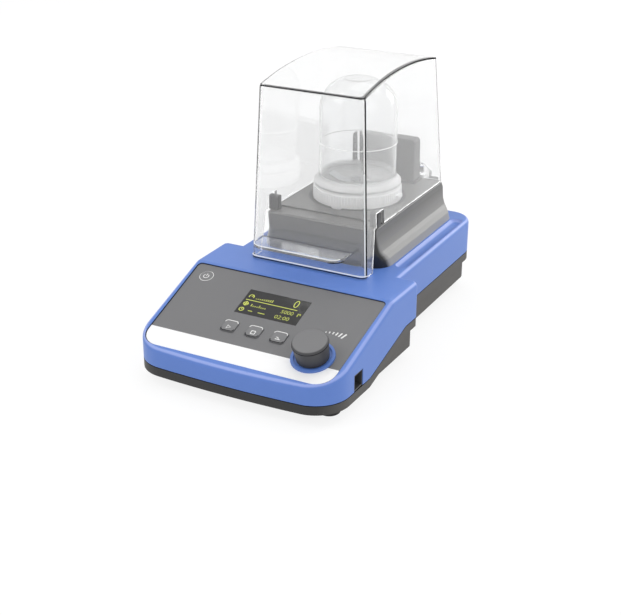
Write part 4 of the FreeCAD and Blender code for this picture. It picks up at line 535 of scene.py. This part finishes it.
# Plain signs, right of and below that corner: a rule, a dial with its hand, a target, a clock, the
# strokes, two dashes and a bracket.
readoutSigns = [
    ([(1.7, 10.6, 0), (43.0, 10.6, 0)], False),
    (arc(4.4, 6.9, 1.9, 150, 390), False),
    ([(4.4, 6.9, 0), (5.6, 5.6, 0)], False),
    (arc(3.9, 14.6, 1.7, 0, 345), True),
    ([(3.9, 12.4, 0), (3.9, 16.8, 0)], False),
    ([(1.7, 14.6, 0), (6.1, 14.6, 0)], False),
    (arc(3.6, 20.8, 1.7, 0, 345), True),
    ([(3.6, 19.7, 0), (3.6, 20.8, 0), (4.5, 20.8, 0)], False),
    *(bar(step, bars["levelFoot"], bars["levelHead"] - step * bars["levelGrowth"])
      for step in range(bars["levelCount"])),
    *(bar(step, bars["scaleFoot"], bars["scaleHead"] - (step % bars["scaleEvery"] == 0) * bars["scaleLonger"])
      for step in range(bars["scaleCount"])),
    ([(9.0, 21.0, 0), (12.4, 21.0, 0)], False),
    ([(17.0, 21.0, 0), (22.4, 21.0, 0)], False),
    ([(45.6, 16.4, 0), (45.6, 13.6, 0), (47.2, 13.6, 0), (47.2, 15.0, 0)], False),
]


def makeGlow():
    material, tree, shader, _ = newMaterial("readoutGlow")
    where = tree.nodes.new("ShaderNodeTexCoord").outputs["Object"]
    cells = linked(tree, "ShaderNodeTexNoise", Vector=where, Scale=readout["cellScale"], Detail=1.0)
    dim = tuple(part * readout["dim"] for part in readout["glow"])
    glow = mixColour(tree, cells.outputs["Fac"], dim, readout["glow"])
    tree.links.new(glow, shader.inputs["Emission Color"])
    shader.inputs["Emission Strength"].default_value = readout["strength"]
    shader.inputs["Base Color"].default_value = (*readout["unlit"], 1)
    shader.inputs["Roughness"].default_value = readout["roughness"]
    return material


def numberMesh(words, left, right, foot, height):
    # A number drawn to fill the space from left to right.
    data = bpy.data.curves.new("number", "FONT")
    data.body = words
    data.extrude = readout["depth"]
    data.offset = readout["thinning"]
    item = bpy.data.objects.new("number", data)
    scene.collection.objects.link(item)
    mesh = bakedMesh(item)
    low = [min(vertex.co[axis] for vertex in mesh.vertices) for axis in (0, 1)]
    high = [max(vertex.co[axis] for vertex in mesh.vertices) for axis in (0, 1)]
    for vertex in mesh.vertices:
        vertex.co.x = left + (vertex.co.x - low[0]) / (high[0] - low[0]) * (right - left)
        vertex.co.y = foot + (vertex.co.y - low[1]) / (high[1] - low[1]) * height
    return mesh


def joined(name, meshes):
    shape = bmesh.new()
    for mesh in meshes:
        shape.from_mesh(mesh)
    result = bpy.data.meshes.new(name)
    shape.to_mesh(result)
    shape.free()
    return result


def makeReadout():
    left, top = readout["left"], readout["top"]
    meshes = [numberMesh(words, left + x0, left + x1, top - foot, height)
              for words, x0, x1, foot, height in readout["numbers"]]
    meshes.append(rods("signs", shifted(readoutSigns, left, top, -1), readout["line"]))
    return toPanel(joined("displayReadout", meshes), readout["lift"], readout["flatten"])


addPiece("displayReadout", makeReadout(), makeGlow(), "base")
print("display readout made")

# The marks of the keys: a painted highlight line round the upper half, a painted shade line below, and a
# printed sign.
keys = {"pitch": 19.5, "middle": 0.8, "up": 33.2, "half": 5.0, "corner": 2.0, "line": 0.34, "lift": 0.92,
        "signDrop": 1.4, "paleDrop": 0.5, "darkDrop": 1.5}
keySigns = {
    "key_left": [([(-1.3, -1.5, 0), (-1.3, 1.5, 0), (1.6, 0, 0)], True)],
    "key_middle": [(roundedLoop(-1.5, 1.5, -1.5, 1.5, 0.4), True)],
    "key_right": [([(-1.8, 0.9, 0), (-0.4, 0.9, 0), (0.9, -0.9, 0), (2.0, -0.9, 0)], False),
                  ([(-1.8, -0.9, 0), (2.0, -0.9, 0)], False)],
}
for number, (name, sign) in enumerate(keySigns.items()):
    across, up, half = keys["middle"] + (number - 1) * keys["pitch"], keys["up"], keys["half"]
    loop = roundedLoop(across - half, across + half, up - half, up + half, keys["corner"])
    upper = [point for point in loop if point[1] > up - keys["paleDrop"]]
    lower = sorted((point for point in loop if point[1] < up - keys["darkDrop"]),
                   key=lambda point: math.atan2(point[1] - up, point[0] - across))
    pale = [(upper, False)] + shifted(sign, across, up - keys["signDrop"])
    addPanelLines(name + "_print", pale, keys["line"], keys["lift"], printWhite, name)
    addPanelLines(name + "_shade", [(lower, False)], keys["line"], keys["lift"], printDark, name)

# The on and off sign, and the ring printed round its key.
powerMark = {"across": -63.2, "up": 76.2, "line": 0.3, "signLift": 0.42}
powerRing = [(arc(0, 0, 5.15, 0, 348, 40), True)]
powerSign = [(arc(0, -0.4, 2.0, 130, 410, 24), False), ([(0, -0.3, 0), (0, 2.2, 0)], False)]
addPanelLines("powerRing", shifted(powerRing, powerMark["across"], powerMark["up"]), powerMark["line"],
              printLift, printWhite, "base")
addPanelLines("powerSign", shifted(powerSign, powerMark["across"], powerMark["up"]), powerMark["line"],
              powerMark["signLift"], printWhite, "power_key")

# The knob's scale: strokes that grow clockwise around it.
scale = {"across": 51.3, "up": 23.5, "first": 108, "last": 66, "count": 8, "line": 0.42, "thinnest": 0.6,
         "inner": 24.4, "outer": 25.3, "growth": 4.2}
strokes = []
for step in range(scale["count"]):
    share = step / (scale["count"] - 1)
    angle = math.radians(scale["first"] + (scale["last"] - scale["first"]) * share)
    radii = (scale["inner"], scale["outer"] + share * share * scale["growth"])
    strokes.append(([(scale["across"] + radius * math.cos(angle), scale["up"] + radius * math.sin(angle), 0,
                      scale["thinnest"] + share) for radius in radii], False))
addPanelLines("knobScale", strokes, scale["line"], printLift, printWhite, "base")
print("prints made")

# A painted shadow line round the foil, for the shade of the shell's rim where it steps down to the foil.
stepShade = {"front": 73.8, "rear": 76.2, "length": 88.3, "frontCorner": 14.0, "rearCorner": 3.5, "line": 0.42,
         "lift": 0.1, "flatten": 0.5}


def foilStepShade():
    lean = (stepShade["rear"] - stepShade["front"]) / stepShade["length"]
    front, rear = stepShade["frontCorner"], stepShade["rearCorner"]
    points = arc(stepShade["front"] - front + lean * front, front, front, -90, 0, 8)
    points += arc(stepShade["rear"] - rear, stepShade["length"] - rear, rear, 0, 90, 8)
    return points + [(-x, y, z) for x, y, z in reversed(points)]


addPanelLines("foilStepShade", [(foilStepShade(), True)], stepShade["line"], stepShade["lift"], printDark, "base",
              stepShade["flatten"])

# Painted shade and painted highlight: dark and bright lines drawn along the hood's polished edges, where a
# clear wall's edges look dark or bright. Stations run back from the front of the mill.
hoodEdge = {
    "footHeight": 59.4, "topHeight": 202.0, "footHalf": 47.0, "topHalf": 40.7,
    "footFront": 114.3, "topFront": 118.5, "footRear": 261.9, "topRear": 246.2,
    "crown": 197.1, "crownStation": 187.5, "roofRadius": 307.0, "frontTop": 189, "rearTop": 191,
    "corner": 4.5, "cornerInset": 0.3, "roofRound": 3.0, "roofInset": 3.0,
    "line": 0.5, "thin": 0.35, "thick": 1.5,
    "footLine": 0.35, "footShadeUp": 0.3, "footShadeOut": -0.1, "footGleamUp": 1.5,
}
halfDepth = 140.85
edgeSink = hoodEdge["roofRound"] * 0.29  # how far the middle of the rounding lies inside its corner


def hoodAt(key, height):
    share = (height - hoodEdge["footHeight"]) / (hoodEdge["topHeight"] - hoodEdge["footHeight"])
    return hoodEdge["foot" + key] + (hoodEdge["top" + key] - hoodEdge["foot" + key]) * share


def roofAt(station):
    away = station - hoodEdge["crownStation"]
    return hoodEdge["crown"] - hoodEdge["roofRadius"] + math.sqrt(hoodEdge["roofRadius"] ** 2 - away ** 2)


def hoodPoint(across, station, height, weight=1.0):
    return (across * mm, (station - halfDepth) * mm, height * mm, weight)


def roofEdgeLine(side, thin, thick):
    # Along the roof's edge on one side, from the front to the rear.
    front = hoodAt("Front", hoodEdge["frontTop"]) + hoodEdge["roofInset"]
    rear = hoodAt("Rear", hoodEdge["rearTop"]) - hoodEdge["roofInset"]
    points = []
    for step in range(21):
        station = front + (rear - front) * step / 20
        height = roofAt(station) - edgeSink
        weight = thin + (thick - thin) * step / 20
        points.append(hoodPoint(side * (hoodAt("Half", height) - edgeSink), station, height, weight))
    return points


def frontEdgeLine():
    # Along the roof's front edge and round its right corner.
    front, corner = hoodAt("Front", hoodEdge["frontTop"]), hoodEdge["corner"]
    height = roofAt(front + 1) - edgeSink
    half = hoodAt("Half", height)
    points = [hoodPoint(-half + corner * 0.5 + (half * 2 - corner) * step / 10, front + edgeSink, height)
              for step in range(10)]
    for step in range(7):
        angle = math.radians(-90 + 90 * step / 6)
        points.append(hoodPoint(half - corner + (corner - hoodEdge["cornerInset"]) * math.cos(angle),
                                front + corner + (corner - edgeSink) * math.sin(angle), height))
    return points


def standingLine(inward, back, low, high):
    # Up the hood's front right edge.
    heights = [low + (high - low) * step / 8 for step in range(9)]
    return [hoodPoint(hoodAt("Half", height) - inward, hoodAt("Front", height) + back, height)
            for height in heights]


def frontRim(half, front, corner, out, height, first=90, last=90):
    # Round a front with rounded corners, from corner angle first on the left to last on the right.
    points = []
    reach = corner + out
    for side, angles in ((-1, range(first, -1, -15)), (1, range(0, last + 1, 15))):
        for angle in angles:
            turn = math.radians(angle)
            points.append(hoodPoint(side * (half - corner + reach * math.sin(turn)),
                                    front + corner - reach * math.cos(turn), height))
    return points


def footLine(height, out):
    # Along the foot of the hood's front wall and round both corners.
    return frontRim(hoodAt("Half", height), hoodAt("Front", height), hoodEdge["corner"], out, height)


def addHoodLines(name, lines, radius, material):
    shape = rods(name, [(points, False) for points in lines], radius * mm)
    addPiece(name, shape, material, "hood")


# Painted shade and painted highlight, for lines drawn along clear edges.
edgeShade = grained("edgeShade", (0.012, 0.012, 0.013), roughness=0.6, tint=0.1, grainSize=1.0, relief=0.0,
                    Specular_IOR_Level=0.05)
edgeGleam = grained("edgeGleam", (0.93, 0.94, 0.94), roughness=0.12, tint=0.02, grainSize=1.0, relief=0.0)
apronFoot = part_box("hood")[0].z / mm
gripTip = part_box("hood")[0].y / mm + halfDepth  # the station of the grip's front edge
shadeEdge = {"inward": 0.1, "back": 3.6, "low": 61, "high": roofAt(120) - 2.4}
gleamEdge = {"inward": 0.55, "back": 2.0, "low": 62, "high": 136}
shadeLines = [
    frontEdgeLine(),
    standingLine(**shadeEdge),
    roofEdgeLine(1, hoodEdge["thin"], hoodEdge["thick"]),
    roofEdgeLine(-1, hoodEdge["thin"], hoodEdge["thin"]),
]
footShade = footLine(apronFoot + hoodEdge["footShadeUp"], hoodEdge["footShadeOut"])
gleamLines = [standingLine(**gleamEdge), footLine(apronFoot + hoodEdge["footGleamUp"], 0.0)]
addHoodLines("hoodEdgeShade", shadeLines, hoodEdge["line"], edgeShade)
addHoodLines("hoodFootShade", [footShade], hoodEdge["footLine"], edgeShade)
addHoodLines("hoodEdgeGleam", gleamLines, hoodEdge["line"], edgeGleam)

# The grip's polished rim: a painted highlight along its upper edge, a painted shade round its right end
# below.
grip = {"half": 36.2, "corner": 9.0, "top": 78.1, "thickness": 2.6, "bright": 0.32, "dark": 0.42,
        "inset": 0.3, "brightDrop": 0.1, "darkRise": 0.2, "brightEnd": 60}
rim = (grip["half"], gripTip, grip["corner"], -grip["inset"])
gripBright = frontRim(*rim, grip["top"] - grip["brightDrop"], last=grip["brightEnd"])
gripDark = frontRim(*rim, grip["top"] - grip["thickness"] + grip["darkRise"])
addHoodLines("gripGleam", [gripBright], grip["bright"], edgeGleam)
addHoodLines("gripShade", [gripDark[len(gripDark) // 2:]], grip["dark"], edgeShade)
print("hood edges made")

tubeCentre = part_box("tube_lid")
tubeY = (tubeCentre[0].y + tubeCentre[1].y) / 2


def ringAt(radius, height, steps):
    # Points round the tube's axis, from millimetres to metres.
    turns = [2 * math.pi * step / steps for step in range(steps)]
    return [(radius * mm * math.cos(turn), tubeY + radius * mm * math.sin(turn), height * mm)
            for turn in turns]


def turnedShell(profile, steps=96):
    # A sheet turned round the tube's axis from (radius, height) points in millimetres.
    shape = bmesh.new()
    rings = [[shape.verts.new(point) for point in ringAt(radius, height, steps)]
             for radius, height in profile]
    for lower, upper in zip(rings, rings[1:]):
        for step in range(steps):
            after = (step + 1) % steps
            shape.faces.new((lower[step], lower[after], upper[after], upper[step])).smooth = True
    mesh = bpy.data.meshes.new("turned")
    shape.to_mesh(mesh)
    shape.free()
    return mesh


def milky(name, low, high, share):
    # White polypropylene that thins out upward from low to high.
    material = grained(name, (0.9, 0.9, 0.9), roughness=0.45, tint=0.04, grainSize=0.6)
    tree = material.node_tree
    shader = next(node for node in tree.nodes if node.type == "BSDF_PRINCIPLED")
    thinning = ramp(tree, surfaceParts(tree, "Object")["Z"], high * mm, low * mm)
    tree.links.new(math2(tree, "MULTIPLY", thinning, share), shader.inputs["Alpha"])
    return material


# The moulded line round the tube to which it may be filled, drawn in the painted highlight white of the
# hood's edge lines.
fillLine = {"height": 134.0, "radius": 28.85, "thickness": 0.35, "steps": 72}
fillRing = ringAt(fillLine["radius"], fillLine["height"], fillLine["steps"])
addPiece("tubeFillLine", rods("fill", [(fillRing, True)], fillLine["thickness"] * mm), edgeGleam, "dome")

# The lid's collar, clouded inside the tube's foot.
collar = {"inner": 26.65, "outer": 27.05, "foot": 93.2, "top": 113.0, "fadeFrom": 97.0, "fadeTo": 112.0,
          "share": 0.72}
collarProfile = [(collar["inner"], collar["foot"]), (collar["outer"], collar["foot"]),
                 (collar["outer"], collar["top"]), (collar["inner"], collar["top"])]
addPiece("lidCollar", turnedShell(collarProfile + collarProfile[:1]),
         milky("milkyCollar", collar["fadeFrom"], collar["fadeTo"], collar["share"]), "tube")

# The dome's flange is clouded where it screws down on the lid. Heights are above the lid's foot.
skirt = {"flange": 32.26, "body": 28.86, "foot": 13.3, "top": 15.5, "shoulder": 18.5, "end": 22.5,
         "cover": 0.25, "fadeFrom": 17.5, "share": 0.75}
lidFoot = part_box("tube_lid")[0].z / mm
inner = [(skirt[radius], lidFoot + skirt[height]) for radius, height in (
    ("flange", "foot"), ("flange", "top"), ("body", "shoulder"), ("body", "end"))]
outer = [(radius + skirt["cover"], height) for radius, height in reversed(inner)]
addPiece("domeSkirt", turnedShell(inner + outer + inner[:1]),
         milky("milkySkirt", lidFoot + skirt["fadeFrom"], lidFoot + skirt["end"], skirt["share"]),
         "dome")

# The fine ribs round the lid, made by a tree of nodes.
ribs = {"count": 90, "radius": 32.85, "foot": 91.2, "top": 99.0, "thickness": 0.45, "sides": 8}


def makeRibTree():
    tree = bpy.data.node_groups.new("lidRibs", "GeometryNodeTree")
    entries = (
        ("Count", "NodeSocketInt", ribs["count"]),
        ("Radius", "NodeSocketFloat", ribs["radius"] * mm),
        ("Rib Height", "NodeSocketFloat", (ribs["top"] - ribs["foot"]) * mm),
        ("Rib Thickness", "NodeSocketFloat", ribs["thickness"] * mm),
        ("Centre", "NodeSocketVector", (0, 0, 0)),
        ("Finish", "NodeSocketMaterial", None),
    )
    for name, kind, value in entries:
        groupSocket(tree, name, "INPUT", kind, value)
    groupSocket(tree, "Geometry", "OUTPUT", "NodeSocketGeometry")
    entry = tree.nodes.new("NodeGroupInput").outputs
    leave = tree.nodes.new("NodeGroupOutput").inputs
    circle = tree.nodes.new("GeometryNodeMeshCircle")
    tree.links.new(entry["Count"], circle.inputs["Vertices"])
    tree.links.new(entry["Radius"], circle.inputs["Radius"])
    rib = tree.nodes.new("GeometryNodeMeshCylinder")
    rib.inputs["Vertices"].default_value = ribs["sides"]
    tree.links.new(entry["Rib Thickness"], rib.inputs["Radius"])
    tree.links.new(entry["Rib Height"], rib.inputs["Depth"])
    copies = tree.nodes.new("GeometryNodeInstanceOnPoints")
    tree.links.new(circle.outputs["Mesh"], copies.inputs["Points"])
    tree.links.new(rib.outputs["Mesh"], copies.inputs["Instance"])
    move = tree.nodes.new("GeometryNodeTransform")
    tree.links.new(copies.outputs["Instances"], move.inputs["Geometry"])
    tree.links.new(entry["Centre"], move.inputs["Translation"])
    real = tree.nodes.new("GeometryNodeRealizeInstances")
    tree.links.new(move.outputs["Geometry"], real.inputs["Geometry"])
    paint = tree.nodes.new("GeometryNodeSetMaterial")
    tree.links.new(real.outputs["Geometry"], paint.inputs["Geometry"])
    tree.links.new(entry["Finish"], paint.inputs["Material"])
    tree.links.new(paint.outputs["Geometry"], leave["Geometry"])
    return tree


def nodeMesh(name, tree, **values):
    # The mesh that a tree of nodes gives with these inputs.
    item = bpy.data.objects.new(name, bpy.data.meshes.new(name))
    scene.collection.objects.link(item)
    modifier = item.modifiers.new(name, "NODES")
    modifier.node_group = tree
    for socket in tree.interface.items_tree:
        if socket.in_out == "INPUT" and socket.name.replace(" ", "_") in values:
            modifier[socket.identifier] = values[socket.name.replace(" ", "_")]
    return bakedMesh(item)


ribMesh = nodeMesh("lidRibs", makeRibTree(), Centre=(0, tubeY, (ribs["foot"] + ribs["top"]) / 2 * mm),
                   Finish=finish["white_lid"])
addPiece("lidRibs", ribMesh, finish["white_lid"], "tube")
print("tube pieces made")

# The knob's shadow line under the edge of its cap.
knobLine = {"radius": 12.42, "up": 12.9, "thickness": 0.22, "flatten": 1.0}
knobRing = arc(scale["across"], scale["up"], knobLine["radius"], 0, 354, 59)
addPanelLines("knobLine", [(knobRing, True)], knobLine["thickness"], knobLine["up"], printDark, "knob",
              knobLine["flatten"])
